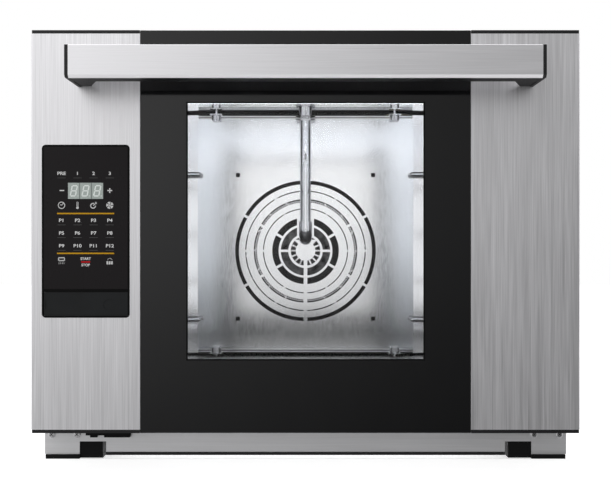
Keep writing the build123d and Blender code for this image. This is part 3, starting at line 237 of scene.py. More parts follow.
def galvanised(name, color):
    """Zinc-coated sheet with its flake pattern."""
    finish = Finish(name, color, metallic=0.6, roughness=0.45)
    flakes = finish.cells(14.0)
    fine = finish.noise((3.0, 3.0, 3.0), detail=3.0)
    finish.tint(flakes, shade(color, 0.88), shade(color, 1.1), 0.1, 0.8)
    finish.rough(finish.both(flakes, fine, 0.4), 0.38, 0.55)
    return finish.material


def polished(name, color, roughness=0.06):
    """Chrome or polished steel with faint drawing marks."""
    finish = Finish(name, color, metallic=1.0, roughness=roughness)
    marks = finish.noise((2.0, 2.0, 30.0), detail=3.0)
    finish.tint(marks, shade(color, 0.96), color)
    finish.rough(marks, roughness * 0.7, roughness * 1.6)
    return finish.material


def moulded(name, color, roughness=0.5, texture=0.8, depth=0.03, specular=0.5):
    """Moulded plastic with a fine eroded texture."""
    finish = Finish(name, color, roughness=roughness, Specular_IOR_Level=specular)
    pits = finish.noise((texture, texture, texture), detail=2.0)
    clouds = finish.noise((30.0, 30.0, 30.0), detail=3.0)
    finish.tint(clouds, shade(color, 0.85), shade(color, 1.2))
    finish.rough(finish.both(pits, clouds, 0.5), roughness - 0.07, roughness + 0.1)
    finish.emboss(pits, 0.25, depth)
    return finish.material


def coated_back(name, dark, pale, lowest):
    """Pale powder coating on the handle's rear, black underneath as painted shade."""
    finish = Finish(name, pale, roughness=0.5, Specular_IOR_Level=0.3)
    grit = finish.noise((0.6, 0.6, 0.6), detail=2.0)
    # The black on the underside is painted shade under the handle
    finish.tint(finish.along("Z"), dark, pale, lowest + 0.8, lowest + 1.2)
    finish.rough(grit, 0.42, 0.58)
    finish.emboss(grit, 0.2, 0.02)
    return finish.material


def glossy(name, color, roughness, specular=0.5):
    """Smooth gloss plastic with slight haze from wiping."""
    finish = Finish(name, color, roughness=roughness, Specular_IOR_Level=specular)
    haze = finish.noise((25.0, 25.0, 60.0), detail=4.0)
    finish.tint(haze, shade(color, 0.9), shade(color, 1.12))
    finish.rough(haze, roughness * 0.8, roughness * 1.5)
    return finish.material


def oxidised(name, color):
    """Heating element's tube, darkened by heat in bands."""
    finish = Finish(name, color, metallic=0.8, roughness=0.55)
    bands = finish.noise((20.0, 20.0, 20.0), detail=4.0)
    grit = finish.noise((0.7, 0.7, 0.7), detail=2.0)
    finish.tint(bands, shade(color, 0.7), (color[0] * 1.5, color[1] * 1.25, color[2] * 1.1))
    finish.rough(grit, 0.45, 0.7)
    finish.emboss(grit, 0.3, 0.05)
    return finish.material


def mineral_wool(name, color):
    """Pressed fibre mat."""
    finish = Finish(name, color, roughness=0.95, Specular_IOR_Level=0.2)
    fibre = finish.noise((0.8, 14.0, 1.2), detail=5.0, rough=0.7)
    clumps = finish.noise((12.0, 12.0, 9.0), detail=3.0)
    mixed = finish.both(fibre, clumps, 0.5)
    finish.tint(mixed, shade(color, 0.62), shade(color, 1.15))
    finish.rough(mixed, 0.85, 1.0)
    finish.emboss(mixed, 0.8, 1.2)
    return finish.material


def circuit_board(name, color):
    """Solder mask with tracks under it."""
    finish = Finish(name, color, roughness=0.35)
    tracks = finish.cells(4.0, feature="F2")
    finish.tint(tracks, shade(color, 0.75), shade(color, 1.5), 0.4, 0.6)
    finish.rough(tracks, 0.28, 0.42)
    return finish.material


def glass(name, tint):
    """Clear pane that lets lamps shine through without caustics."""
    finish = Finish(name, tint, Transmission_Weight=1.0, IOR=1.18)
    wipe = finish.noise((60.0, 60.0, 40.0), detail=3.0)
    finish.rough(wipe, 0.0, 0.015)
    path = finish.add("LightPath")
    clear = finish.add("BsdfTransparent")
    clear.inputs["Color"].default_value = (0.92, 0.93, 0.93, 1.0)
    mix = finish.add("MixShader")
    finish.join(path.outputs["Is Shadow Ray"], mix.inputs[0])
    finish.join(finish.shader.outputs[0], mix.inputs[1])
    finish.join(clear.outputs[0], mix.inputs[2])
    finish.join(mix.outputs[0], finish.tree.nodes["Material Output"].inputs["Surface"])
    return finish.material


def print_with_painted_fade(name, lower, upper, dark, pale):
    """Printed border that fades from dark to pale between two heights in millimetres; the fade is painted
    shade.
    """
    finish = Finish(name, dark, roughness=0.35, Specular_IOR_Level=0.2)
    dots = finish.noise((1.5, 1.5, 1.5), detail=1.0)
    # The fade with height is painted shade
    fade = finish.spread(finish.along("Z"), 0.0, 1.0, lower, upper)
    finish.tint(finish.both(fade, dots, 0.06), dark, pale, 0.03, 0.97)
    finish.rough(dots, 0.3, 0.4)
    return finish.material


def lit(name, color, strength, roughness=0.4):
    """Translucent white diffuser that glows a little unevenly."""
    finish = Finish(name, color, roughness=roughness)
    finish.set("Emission Color", (*color, 1.0))
    finish.set("Emission Strength", strength)
    frost = finish.noise((1.2, 1.2, 1.2), detail=2.0)
    finish.tint(frost, shade(color, 0.9), color)
    finish.rough(frost, roughness - 0.1, roughness + 0.1)
    return finish.material


def ink(name, color, glow=0.0):
    """Screen-printed ink with a slightly uneven edge tone; a glow, where given, is painted light."""
    finish = Finish(name, color, roughness=0.45, Specular_IOR_Level=0.2)
    # The glow is painted light; the ink is no lamp
    if glow:
        finish.set("Emission Color", (*color, 1.0))
        finish.set("Emission Strength", glow)
    speckle = finish.noise((0.5, 0.5, 0.5), detail=2.0)
    finish.tint(speckle, shade(color, 0.93), shade(color, 1.04))
    return finish.material


steel = (0.8, 0.795, 0.815)
column_steel = brushed("column steel, brushed upright", steel, "Z", contrast=0.16)
handle_metal = brushed("handle aluminium, brushed across", steel, "X", 0.33, 0.07)
frame_steel = brushed("front frame steel", (0.82, 0.82, 0.835), "X", 0.45, 0.05)
side_steel = brushed("side panel steel", (0.62, 0.62, 0.635), "Y", 0.4, 0.06)
top_steel = brushed("top cover steel", (0.62, 0.62, 0.635), "Y", 0.4, 0.06)
back_steel = brushed("back panel steel", (0.6, 0.6, 0.615), "X", 0.42, 0.05)
zinc = galvanised("zinc-coated sheet", (0.72, 0.73, 0.75))
liner_steel = bright_steel("cavity liner steel", (0.92, 0.925, 0.94), 0.07)
floor_steel = bright_steel("cavity floor steel", (0.2, 0.2, 0.205), 0.28)
hem_steel = bright_steel("hem steel", (0.95, 0.95, 0.97), 0.4)
deflector_steel = bright_steel("deflector steel", (0.965, 0.97, 0.99), 0.18, streak=0.015)
plain_steel = bright_steel("plain steel", (0.6, 0.6, 0.61), 0.28)
# The cavity's back is near black as painted shade behind the guard
back_painted_shade = bright_steel("cavity back steel, near black as painted shade", (0.03, 0.03, 0.031), 0.4, streak=0.15)
# The fan wheel is near black as painted shade, with painted glints on its rib fronts and near the hub
wheel_shade_and_glints = fan_shade_and_glints("fan wheel steel with painted shade and glints", (0.045, 0.045, 0.047), (0.3, 0.3, 0.31), (0.95, 0.95, 0.97))
dark_steel = bright_steel("phosphated steel", (0.16, 0.16, 0.17), 0.4)
spring_steel = polished("oiled spring steel", (0.3, 0.3, 0.31), 0.25)
chrome = polished("chrome", (0.82, 0.82, 0.85))
wire_chrome = polished("chromed wire", (0.8, 0.8, 0.82), 0.1)
fastener = polished("zinc-plated fastener", (0.66, 0.66, 0.67), 0.2)
element_metal = oxidised("heating element sheath", (0.12, 0.105, 0.095))
motor_paint = moulded("motor enamel", (0.03, 0.03, 0.034), 0.42, 1.2)
copper = polished("copper pipe", (0.78, 0.42, 0.27), 0.22)
rubber = moulded("black rubber", (0.012, 0.012, 0.013), 0.62, 0.6, 0.04, 0.35)
gasket_rubber = moulded("gasket silicone", (0.03, 0.03, 0.032), 0.55, 1.0, 0.03, 0.4)
foot_plastic = moulded("foot plastic", (0.009, 0.009, 0.0095), 0.55, 0.9, 0.04, 0.12)
cap_black = (0.007, 0.007, 0.008)
cap_plastic = moulded("end cap plastic", cap_black, 0.42, 0.7, 0.02, 0.35)
back_coating_and_shade = coated_back("handle back coating with painted shade underneath", cap_black, (0.72, 0.72, 0.73), low("handle_back").z)
flap_plastic = moulded("flap plastic", (0.0125, 0.0135, 0.0145), 0.55, 0.5, 0.03, 0.2)
bezel_gloss = glossy("bezel gloss", (0.0015, 0.0015, 0.0015), 0.35, 0.1)
touch_film = glossy("touch panel film", (0.0125, 0.0105, 0.0115), 0.25, 0.12)
display_body = glossy("display filter", (0.47, 0.53, 0.5), 0.25)
white_plastic = moulded("white nylon", (0.72, 0.72, 0.7), 0.45)
board_green = circuit_board("circuit board", (0.02, 0.11, 0.045))
wool = mineral_wool("mineral wool", (0.55, 0.49, 0.32))
outer_pane = glass("outer pane", (0.997, 1.0, 1.0))
inner_pane = glass("inner pane", (1.0, 1.0, 1.0))
black_glass = glossy("black glass", (0.0035, 0.0035, 0.004), 0.07, 0.42)
print_black = (0.004, 0.004, 0.0045)
frit = glossy("black glass print", print_black, 0.3, 0.2)
edge_shade_black = moulded("matt black painted shade", (0.0025, 0.0025, 0.0025), 0.8, 0.5, 0.01, 0.1)
window_print_painted_fade = print_with_painted_fade("inner window print with painted shade", 160.0, 380.0, print_black, (0.6, 0.6, 0.61))
led_lens = lit("light bar lens", (1.0, 1.0, 1.0), 0.4)
# Inks given a glow carry painted light
white_ink = ink("white ink", (0.8, 0.8, 0.8), 0.05)
soft_ink = ink("soft white ink", (0.66, 0.66, 0.66), 0.04)
grey_ink = ink("grey ink", (0.09, 0.09, 0.09))
divider_ink = ink("display divider", (0.15, 0.17, 0.16))
point_ink = ink("display point", (0.62, 0.67, 0.64))
yellow_ink = ink("yellow ink", (0.6, 0.31, 0.002), 0.08)
red_ink = ink("red ink", (0.55, 0.004, 0.008), 0.05)
segment_ink = lit("display segment", (0.8, 0.85, 0.82), 0.1)
recess_dark = moulded("recess shadow", (0.01, 0.01, 0.01), 0.7)

# Material of every CAD node
finishes = {
    column_steel: ("left_column", "right_column"),
    handle_metal: ("handle_bar",),
    frame_steel: ("front_frame", "base_tray"),
    side_steel: ("side_panel_left", "side_panel_right"),
    top_steel: ("top_cover",),
    back_steel: ("back_panel",),
    liner_steel: ("cavity_ceiling", "cavity_side_left", "cavity_side_right"),
    floor_steel: ("cavity_floor",),
    back_painted_shade: ("cavity_back",),
    wheel_shade_and_glints: ("fan_wheel",),
    deflector_steel: ("deflector",),
    zinc: ("door_pan",),
    plain_steel: ("vent_stub", "glass_clips"),
    dark_steel: ("hinge_arms", "hinge_channels", "hinge_springs"),
    chrome: ("steam_pipe", "steam_pipe_nut", "deflector_screws"),
    wire_chrome: ("rack_left", "rack_right"),
    fastener: (
        "frame_screws", "fan_nut", "motor_shaft", "hinge_pins", "spring_rods", "flap_pin",
        "temperature_probe",
    ),
    element_metal: ("heating_element",),
    motor_paint: ("fan_motor",),
    copper: ("water_pipe",),
    rubber: ("base_trim",),
    gasket_rubber: ("door_gasket",),
    foot_plastic: ("feet", "harness_cover", "cable_gland", "cooling_fan_frame", "cooling_fan_rotor"),
    cap_plastic: ("door_end_caps", "handle_caps"),
    back_coating_and_shade: ("handle_back",),
    flap_plastic: ("service_flap",),
    bezel_gloss: ("panel_bezel",),
    touch_film: ("touch_panel",),
    display_body: ("display",),
    white_plastic: ("water_valve", "terminal_block", "safety_thermostat"),
    board_green: ("power_board", "control_board"),
    wool: ("insulation",),
    outer_pane: ("outer_glass",),
    inner_pane: ("inner_glass",),
    led_lens: ("led_bar",),
}
for material, names in finishes.items():
    for name in names:
        nodes[name].data.materials.clear()
        nodes[name].data.materials.append(material)


# Pieces built as meshes, in millimetres


def finish_piece(name, bm, body, material, smooth=False):
    """Turns a mesh in millimetres into an object that rides on a body."""
    bmesh.ops.remove_doubles(bm, verts=bm.verts[:], dist=0.001)
    bmesh.ops.recalc_face_normals(bm, faces=bm.faces[:])
    bmesh.ops.scale(bm, vec=(MM, MM, MM), verts=bm.verts[:])
    data = bpy.data.meshes.new(name)
    bm.to_mesh(data)
    bm.free()
    data.materials.append(material)
    for face in data.polygons:
        face.use_smooth = smooth
    piece = bpy.data.objects.new(name, data)
    scene.collection.objects.link(piece)
    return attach(piece, body)


def plate(bm, outline, front, back):
    """Flat plate with the outline's (x, z) points, from depth front to depth back."""
    near = [bm.verts.new((x, front, z)) for x, z in outline]
    far = [bm.verts.new((x, back, z)) for x, z in outline]
    bm.faces.new(near)
    bm.faces.new(far[::-1])
    for k in range(len(outline)):
        bm.faces.new((near[k - 1], far[k - 1], far[k], near[k]))


def bar(bm, start, end, width, front, back):
    """Straight bar between two (x, z) points."""
    run = Vector(end) - Vector(start)
    side = Vector((-run.y, run.x)).normalized() * width / 2
    corners = (Vector(start) + side, Vector(start) - side, Vector(end) - side, Vector(end) + side)
    plate(bm, [tuple(corner) for corner in corners], front, back)


def arc(centre, radius, start, end, steps):
    """Points on an arc, angles in degrees from +X towards +Z."""
    turns = [radians(start + (end - start) * k / steps) for k in range(steps + 1)]
    return [(centre[0] + radius * cos(t), centre[1] + radius * sin(t)) for t in turns]


def band(bm, centre, inner, outer, start, end, front, back, steps=24):
    """Part of a flat ring."""
    for k in range(steps):
        a = start + (end - start) * k / steps
        b = start + (end - start) * (k + 1) / steps
        plate(bm, arc(centre, outer, a, b, 1) + arc(centre, inner, b, a, 1), front, back)


def disc(bm, centre, radius, front, back, steps=24):
    """Flat round plate."""
    plate(bm, arc(centre, radius, 0, 360 - 360 / steps, steps - 1), front, back)


def opening_plate(bm, outer, inner, front, back):
    """Rectangular plate with a rectangular opening; each is (x low, x high, z low, z high)."""
    rings = []
    for depth in (front, back):
        for x0, x1, z0, z1 in (outer, inner):
            corners = ((x0, z0), (x1, z0), (x1, z1), (x0, z1))
            rings.append([bm.verts.new((x, depth, z)) for x, z in corners])
    near_out, near_in, far_out, far_in = rings
    for a, b in ((near_out, near_in), (far_in, far_out), (far_out, near_out), (near_in, far_in)):
        for k in range(4):
            bm.faces.new((a[k - 1], a[k], b[k], b[k - 1]))


def words(bm, text, centre, height, front, back, weight=0.0, wide=1.0):
    """Upright words, centred on (x, z): their capital height is in millimetres, wide stretches them."""
    capital_share = 0.72
    curve = bpy.data.curves.new("words", "FONT")
    curve.body = text
    curve.size = height / capital_share
    curve.align_x = "CENTER"
    curve.offset = weight
    curve.extrude = (back - front) / 2
    holder = bpy.data.objects.new("words", curve)
    data = bpy.data.meshes.new_from_object(holder)
    x, z = centre
    stand = Matrix.Translation((x, (front + back) / 2, z - height / 2)) @ Matrix.Rotation(pi / 2, 4, "X")
    data.transform(stand @ Matrix.Diagonal((wide, 1.0, 1.0, 1.0)))
    bm.from_mesh(data)
    bpy.data.objects.remove(holder)
    bpy.data.curves.remove(curve)
    bpy.data.meshes.remove(data)


# Black gloss around the clear window on both faces of the outer glass, with a matt black line at its edge
# as painted shade
def outer_print():
    glass_low = low("outer_glass")
    glass_high = high("outer_glass")
    inset = 0.2
    outer = (glass_low.x + inset, glass_high.x - inset, glass_low.z + inset, glass_high.z - inset)
    window = (-129.5, 129.8, 119.4, 400.6)
    line = 1.3
    edge = (window[0] - line, window[1] + line, window[2] - line, window[3] + line)
    under, over = 0.03, 0.13
    front = bmesh.new()
    opening_plate(front, outer, edge, glass_low.y - over, glass_low.y - under)
    finish_piece("outer_glass_black", front, "door", black_glass)
    back = bmesh.new()
    opening_plate(back, outer, window, glass_high.y + under, glass_high.y + over)
    finish_piece("outer_glass_print", back, "door", frit)
    # The matt rim is a line of painted shade along the window's edge
    rim = bmesh.new()
    opening_plate(rim, edge, window, glass_low.y - over, glass_low.y - under)
    finish_piece("window_rim", rim, "door", edge_shade_black)


outer_print()


# Print around the inner window, and a strip of it along the lower edge of the inner glass; its fade from
# dark low down to pale higher up is painted shade
def inner_print():
    glass_low = low("inner_glass")
    glass_high = high("inner_glass")
    window = (-150.0, 150.0, 97.0, 424.0)
    left, right, bottom, top = window
    side_line = 11.0
    level_line = 9.0
    line = (left - side_line, right + side_line, bottom - level_line, top + level_line)
    inset = 3.0
    strip_left, strip_right = glass_low.x + inset, glass_high.x - inset
    strip_bottom, strip_top = glass_low.z + inset, bottom - level_line
    strip = ((strip_left, strip_bottom), (strip_right, strip_bottom),
             (strip_right, strip_top), (strip_left, strip_top))
    depth = (glass_low.y - 0.15, glass_low.y - 0.05)
    bm = bmesh.new()
    opening_plate(bm, line, window, *depth)
    plate(bm, strip, *depth)
    finish_piece("inner_glass_print", bm, "door", window_print_painted_fade)


inner_print()

# Legends of the touch panel
panel_front = low("touch_panel").y
print_depth = (panel_front - 0.06, panel_front + 0.02)
key_columns = (-267.5, -250.0, -232.4, -214.6)
middle_column = -241.1
top_row = 323.5
key_rows = (272.0, 258.1, 244.1)
sign_row = 304.6
icon_row = 288.4
line_rows = (279.4, 235.7)
line_ends = (-272.5, -209.8)
last_row = 226.8
letter = 3.6
small_letter = 2.8
letter_weight = 0.1
letter_wide = 1.2


# Key names, the two words and the signs beside the display
def panel_letters():
    bm = bmesh.new()
    for x, text in zip(key_columns, ("PRE", "1", "2", "3")):
        words(bm, text, (x, top_row), letter, *print_depth, letter_weight, letter_wide)
    number = 1
    for z in key_rows:
        for x in key_columns:
            words(bm, f"P{number}", (x, z), letter, *print_depth, letter_weight, letter_wide)
            number += 1
    words(bm, "START", (middle_column, last_row + 3.1), small_letter, *print_depth, letter_weight)
    words(bm, "STOP", (middle_column, last_row - 3.8), small_letter, *print_depth, letter_weight)
    minus, plus = key_columns[0] + 0.4, key_columns[-1]
    bar(bm, (minus - 2.5, sign_row), (minus + 2.5, sign_row), 1.1, *print_depth)
    bar(bm, (plus - 2.6, sign_row), (plus + 2.6, sign_row), 1.2, *print_depth)
    bar(bm, (plus, sign_row - 2.6), (plus, sign_row + 2.6), 1.2, *print_depth)
    finish_piece("panel_letters", bm, "door", white_ink)


panel_letters()


# Icons: clock, thermometer, drop dial, fan, tray and batch
def panel_icons():
    bm = bmesh.new()
    clock, thermometer, dial, fan = [(x, icon_row) for x in key_columns]
    band(bm, clock, 3.1, 4.0, 0, 360, *print_depth)
    bar(bm, clock, (clock[0] + 2.0, clock[1] + 2.2), 0.9, *print_depth)
    bar(bm, clock, (clock[0] - 1.2, clock[1] + 0.8), 0.9, *print_depth)
    x, z = thermometer
    disc(bm, (x, z - 2.6), 1.5, *print_depth)
    bar(bm, (x - 0.8, z - 2.0), (x - 0.8, z + 3.6), 0.5, *print_depth)
    bar(bm, (x + 0.8, z - 2.0), (x + 0.8, z + 3.6), 0.5, *print_depth)
    for step in range(4):
        bar(bm, (x - 0.8, z + 3.4 - 1.3 * step), (x + 0.8, z + 3.4 - 1.3 * step), 0.5, *print_depth)
    x, z = dial
    band(bm, (x - 0.5, z - 0.5), 2.1, 3.2, 70, 360, *print_depth)
    bar(bm, (x - 0.4, z - 0.4), (x + 3.2, z + 3.0), 0.9, *print_depth)
    bar(bm, (x + 1.6, z + 3.2), (x + 3.4, z + 3.2), 0.7, *print_depth)
    bar(bm, (x + 3.2, z + 1.4), (x + 3.2, z + 3.4), 0.7, *print_depth)
    x, z = fan
    disc(bm, (x, z), 0.9, *print_depth)
    for blade in range(5):
        turn = 72 * blade
        root = arc((x, z), 1.2, turn, turn + 40, 3)
        tip = arc((x, z), 3.9, turn + 62, turn + 5, 4)
        plate(bm, root + tip, *print_depth)
    # Tray under a grill bar, at the lower left
    x = key_columns[0]
    z = last_row
    half, lower, upper = 3.2, 0.9, 4.1
    for start, end in (((-half, lower), (half, lower)), ((-half, upper), (half, upper)),
                       ((-half, lower), (-half, upper)), ((half, lower), (half, upper))):
        bar(bm, (x + start[0], z + start[1]), (x + end[0], z + end[1]), 1.1, *print_depth)
    for dot in range(4):
        bar(bm, (x - 2.7 + 1.8 * dot, z - 2.8), (x - 2.7 + 1.8 * dot, z - 1.0), 0.45, *print_depth)
    # Three trays side by side, at the lower right
    x = key_columns[-1]
    for tray in range(3):
        left = x - 3.6 + 2.5 * tray
        right = left + 1.9
        plate(bm, ((left, z - 3.2), (right, z - 3.2), (right, z + 0.2), (left, z + 0.2)), *print_depth)
    band(bm, (x, z + 0.6), 2.5, 2.9, 20, 160, *print_depth, steps=10)
    finish_piece("panel_icons", bm, "door", soft_ink)


panel_icons()


# Bars under the keys, thin yellow rules and the red bar between the last two words
def panel_bars():
    grey = bmesh.new()
    below = 5.1
    half = 4.5
    for z in (top_row, *key_rows):
        for x in key_columns:
            bar(grey, (x - half, z - below), (x + half, z - below), 0.5, *print_depth)
    finish_piece("panel_key_bars", grey, "door", grey_ink)
    yellow = bmesh.new()
    for z in line_rows:
        bar(yellow, (line_ends[0], z), (line_ends[1], z), 1.5, *print_depth)
    finish_piece("panel_rules", yellow, "door", yellow_ink)
    red = bmesh.new()
    red_half = 5.0
    red_row = last_row - 0.5
    bar(red, (middle_column - red_half, red_row), (middle_column + red_half, red_row), 1.5, *print_depth)
    finish_piece("panel_stop_bar", red, "door", red_ink)


panel_bars()


# Three slanted seven-segment digits with their points
def display_digits():
    centre_x = (low("display").x + high("display").x) / 2
    centre_z = (low("display").z + high("display").z) / 2
    front = low("display").y - 0.05
    back = low("display").y + 0.02
    pitch = (high("display").x - low("display").x) / 3
    half_w = 2.8
    half_h = 5.6
    slant = 0.21
    width = 1.5
    gap = 0.35
    bm = bmesh.new()
    points = bmesh.new()
    dividers = bmesh.new()
    for digit in range(3):
        x = centre_x + (digit - 1) * pitch
        for z in (-half_h, 0.0, half_h):
            middle = x + slant * z
            reach = half_w - gap
            bar(bm, (middle - reach, centre_z + z), (middle + reach, centre_z + z), width, front, back)
        for side in (-half_w, half_w):
            for z0, z1 in ((-half_h + gap, -gap), (gap, half_h - gap)):
                start = (x + slant * z0 + side, centre_z + z0)
                end = (x + slant * z1 + side, centre_z + z1)
                bar(bm, start, end, width, front, back)
        disc(points, (x + half_w + 1.6, centre_z - half_h), 1.0, front, back, 12)
    divider_half = 8.7
    for edge in (-0.5, 0.5):
        x = centre_x + edge * pitch
        bar(dividers, (x, centre_z - divider_half), (x, centre_z + divider_half), 0.8, front + 0.02, back)
    finish_piece("display_segments", bm, "door", segment_ink)
    finish_piece("display_points", points, "door", point_ink)
    finish_piece("display_dividers", dividers, "door", divider_ink)


display_digits()


# Hatched band of woven wire behind one ring of the guard, and the deflector's hems, with the grooves
# between them dark as painted shade
def guard_details():
    wing_depth = 18.0
    flat_y = low("deflector").y + wing_depth
    centre = (0.0, fan_height)
    mesh_depth = (flat_y + 1.3, flat_y + 1.6)
    mesh_inner, mesh_outer = 71.6, 74.5
    bm = bmesh.new()
    bars = 150
    for k in range(bars):
        turn = 360 * k / bars
        start = arc(centre, mesh_inner, turn, turn, 1)[0]
        end = arc(centre, mesh_outer, turn + 1.0, turn + 1.0, 1)[0]
        bar(bm, start, end, 1.0, *mesh_depth)
    band(bm, centre, mesh_outer - 0.3, mesh_outer + 0.4, 0, 360, *mesh_depth, 96)
    finish_piece("guard_mesh", bm, "cabinet", wire_chrome)
    hems = bmesh.new()
    groove_shade = bmesh.new()
    hem_half = 159.0
    bottom = low("deflector").z
    top = high("deflector").z
    for edge, way in ((bottom, 1.0), (top, -1.0)):
        # The grooves are dark steel as painted shade between the hems
        for sheet, near, far, proud in ((groove_shade, 0.0, 1.5, 0.2), (hems, 1.5, 3.1, 0.6),
                                        (groove_shade, 3.1, 4.5, 0.1), (hems, 4.5, 6.0, 0.3)):
            z0, z1 = sorted((edge + way * near, edge + way * far))
            strip = ((-hem_half, z0), (hem_half, z0), (hem_half, z1), (-hem_half, z1))
            plate(sheet, strip, flat_y - proud, flat_y)
    finish_piece("deflector_hems", hems, "cabinet", hem_steel)
    finish_piece("deflector_groove_shade", groove_shade, "cabinet", dark_steel)


guard_details()


def ring_path(half_x, half_z, middle, radius, grow):
    """Rounded rectangle around the mouth, grown outwards, as (x, z) points."""
    steps = 8
    points = []
    corner = radius + grow
    for turn, sx, sz in ((0, 1, 1), (90, -1, 1), (180, -1, -1), (270, 1, -1)):
        centre = (sx * (half_x - radius), middle + sz * (half_z - radius))
        points += arc(centre, corner, turn, turn + 90, steps)
    return points


# Gasket with a rounded bulb, a flat base and a groove beside the bulb
def gasket():
    lowest = low("door_gasket")
    highest = high("door_gasket")
    width = 15.0
    mouth_corner = 8.0
    half_x = (highest.x - lowest.x) / 2 - width
    half_z = (highest.z - lowest.z) / 2 - width
    middle = (highest.z + lowest.z) / 2
    depth = highest.y - lowest.y
    profile = [(0.0, 0.0), (0.0, 1.4), (2.2, 1.5), (2.8, 1.1)]
    turns = [pi * k / 12 for k in range(1, 12)]
    profile += [(8.0 - 4.6 * cos(t), 1.0 + (depth - 1.05) * sin(t)) for t in turns]
    profile += [(13.0, 1.1), (13.4, 1.4), (width, 1.3), (width, 0.0)]
    bm = bmesh.new()
    loops = []
    for grow, rise in profile:
        path = ring_path(half_x, half_z, middle, mouth_corner, grow)
        loops.append([bm.verts.new((x, highest.y - rise, z)) for x, z in path])
    for k in range(len(loops)):
        one, other = loops[k - 1], loops[k]
        for j in range(len(one)):
            bm.faces.new((one[j - 1], one[j], other[j], other[j - 1]))
    piece = finish_piece("mouth_gasket", bm, "cabinet", gasket_rubber, smooth=True)
    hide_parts("door_gasket")


gasket()


# Door springs: round wire with a closed turn at each end and open turns between
def springs():
    lowest = low("hinge_springs")
    highest = high("hinge_springs")
    wire = 1.4
    turns = 11
    around = 20
    tube = 10
    depth = (lowest.y + highest.y) / 2
    radius = (highest.y - lowest.y) / 2 - wire
    bottom, top = lowest.z + wire, highest.z - wire
    dead = 2 * wire
    open_rise = (top - bottom - 2 * dead) / (turns - 2)
    bm = bmesh.new()
    for side in (-1, 1):
        axis_x = side * (highest.x - wire - radius)
        rows = []
        for step in range(turns * around + 1):
            turn = step / around
            closed_turns = min(turn, 1.0), max(turn - turns + 1, 0.0)
            open_turns = min(max(turn - 1.0, 0.0), turns - 2)
            rise = dead * closed_turns[0] + open_rise * open_turns + dead * closed_turns[1]
            angle = 2 * pi * turn
            outward = Vector((cos(angle), sin(angle), 0.0))
            centre = Vector((axis_x, depth, bottom + rise)) + outward * radius
            row = []
            for k in range(tube):
                t = 2 * pi * k / tube
                point = centre + outward * wire * cos(t) + Vector((0.0, 0.0, wire * sin(t)))
                row.append(bm.verts.new(point))
            rows.append(row)
        for one, two in zip(rows, rows[1:]):
            for k in range(tube):
                bm.faces.new((one[k - 1], one[k], two[k], two[k - 1]))
        bm.faces.new(rows[0])
        bm.faces.new(rows[-1][::-1])
    piece = finish_piece("door_springs", bm, "door", spring_steel, smooth=True)
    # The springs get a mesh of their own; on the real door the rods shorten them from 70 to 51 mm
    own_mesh(piece)
    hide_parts("hinge_springs")


springs()


# Trim: a rounded rubber strip along the skirt
def trim():
    lowest = low("base_trim")
    highest = high("base_trim")
    half_depth = (highest.y - lowest.y) / 2
    middle = (highest.y + lowest.y) / 2
    profile = [(lowest.y, highest.z)]
    turns = [pi * k / 10 for k in range(11)]
    profile += [(middle - half_depth * cos(t), lowest.z + half_depth - half_depth * sin(t)) for t in turns]
    profile += [(highest.y, highest.z)]
    bm = bmesh.new()
    ends = []
    for x in (lowest.x, highest.x):
        ends.append([bm.verts.new((x, y, z)) for y, z in profile])
    bm.faces.new(ends[0][::-1])
    bm.faces.new(ends[1])
    for k in range(len(profile)):
        bm.faces.new((ends[0][k - 1], ends[0][k], ends[1][k], ends[1][k - 1]))
    piece = finish_piece("skirt_trim", bm, "cabinet", rubber)
    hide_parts("base_trim")


trim()


# Mineral wool slabs with soft edges and a lumpy face, cut where the fan's shaft goes through
def wool_slab(bm, corner_low, corner_high):
    cell = 14.0
    lump_size = 23.0
    lump_depth = 0.9
    edge_round = 2.0
    size = corner_high - corner_low
    counts = [max(2, round(side / cell)) for side in size]
    made = {}

    def vertex(i, j, k):
        if (i, j, k) not in made:
            at = Vector([corner_low[n] + size[n] * (i, j, k)[n] / counts[n] for n in range(3)])
            centre = (corner_low + corner_high) / 2
            edges = sum((i in (0, counts[0]), j in (0, counts[1]), k in (0, counts[2])))
            inward = (centre - at).normalized()
            lump = 1.0 + noise.noise(at / lump_size)
            made[(i, j, k)] = bm.verts.new(at + inward * (lump_depth * lump + edge_round * (edges - 1)))
        return made[(i, j, k)]

    def wall(axis, index):
        one, two = [n for n in range(3) if n != axis]
        for a in range(counts[one]):
            for b in range(counts[two]):
                quad = []
                for da, db in ((0, 0), (1, 0), (1, 1), (0, 1)):
                    place = [0, 0, 0]
                    place[axis] = index
                    place[one] = a + da
                    place[two] = b + db
                    quad.append(vertex(*place))
                bm.faces.new(quad)

    for axis in range(3):
        wall(axis, 0)
        wall(axis, counts[axis])


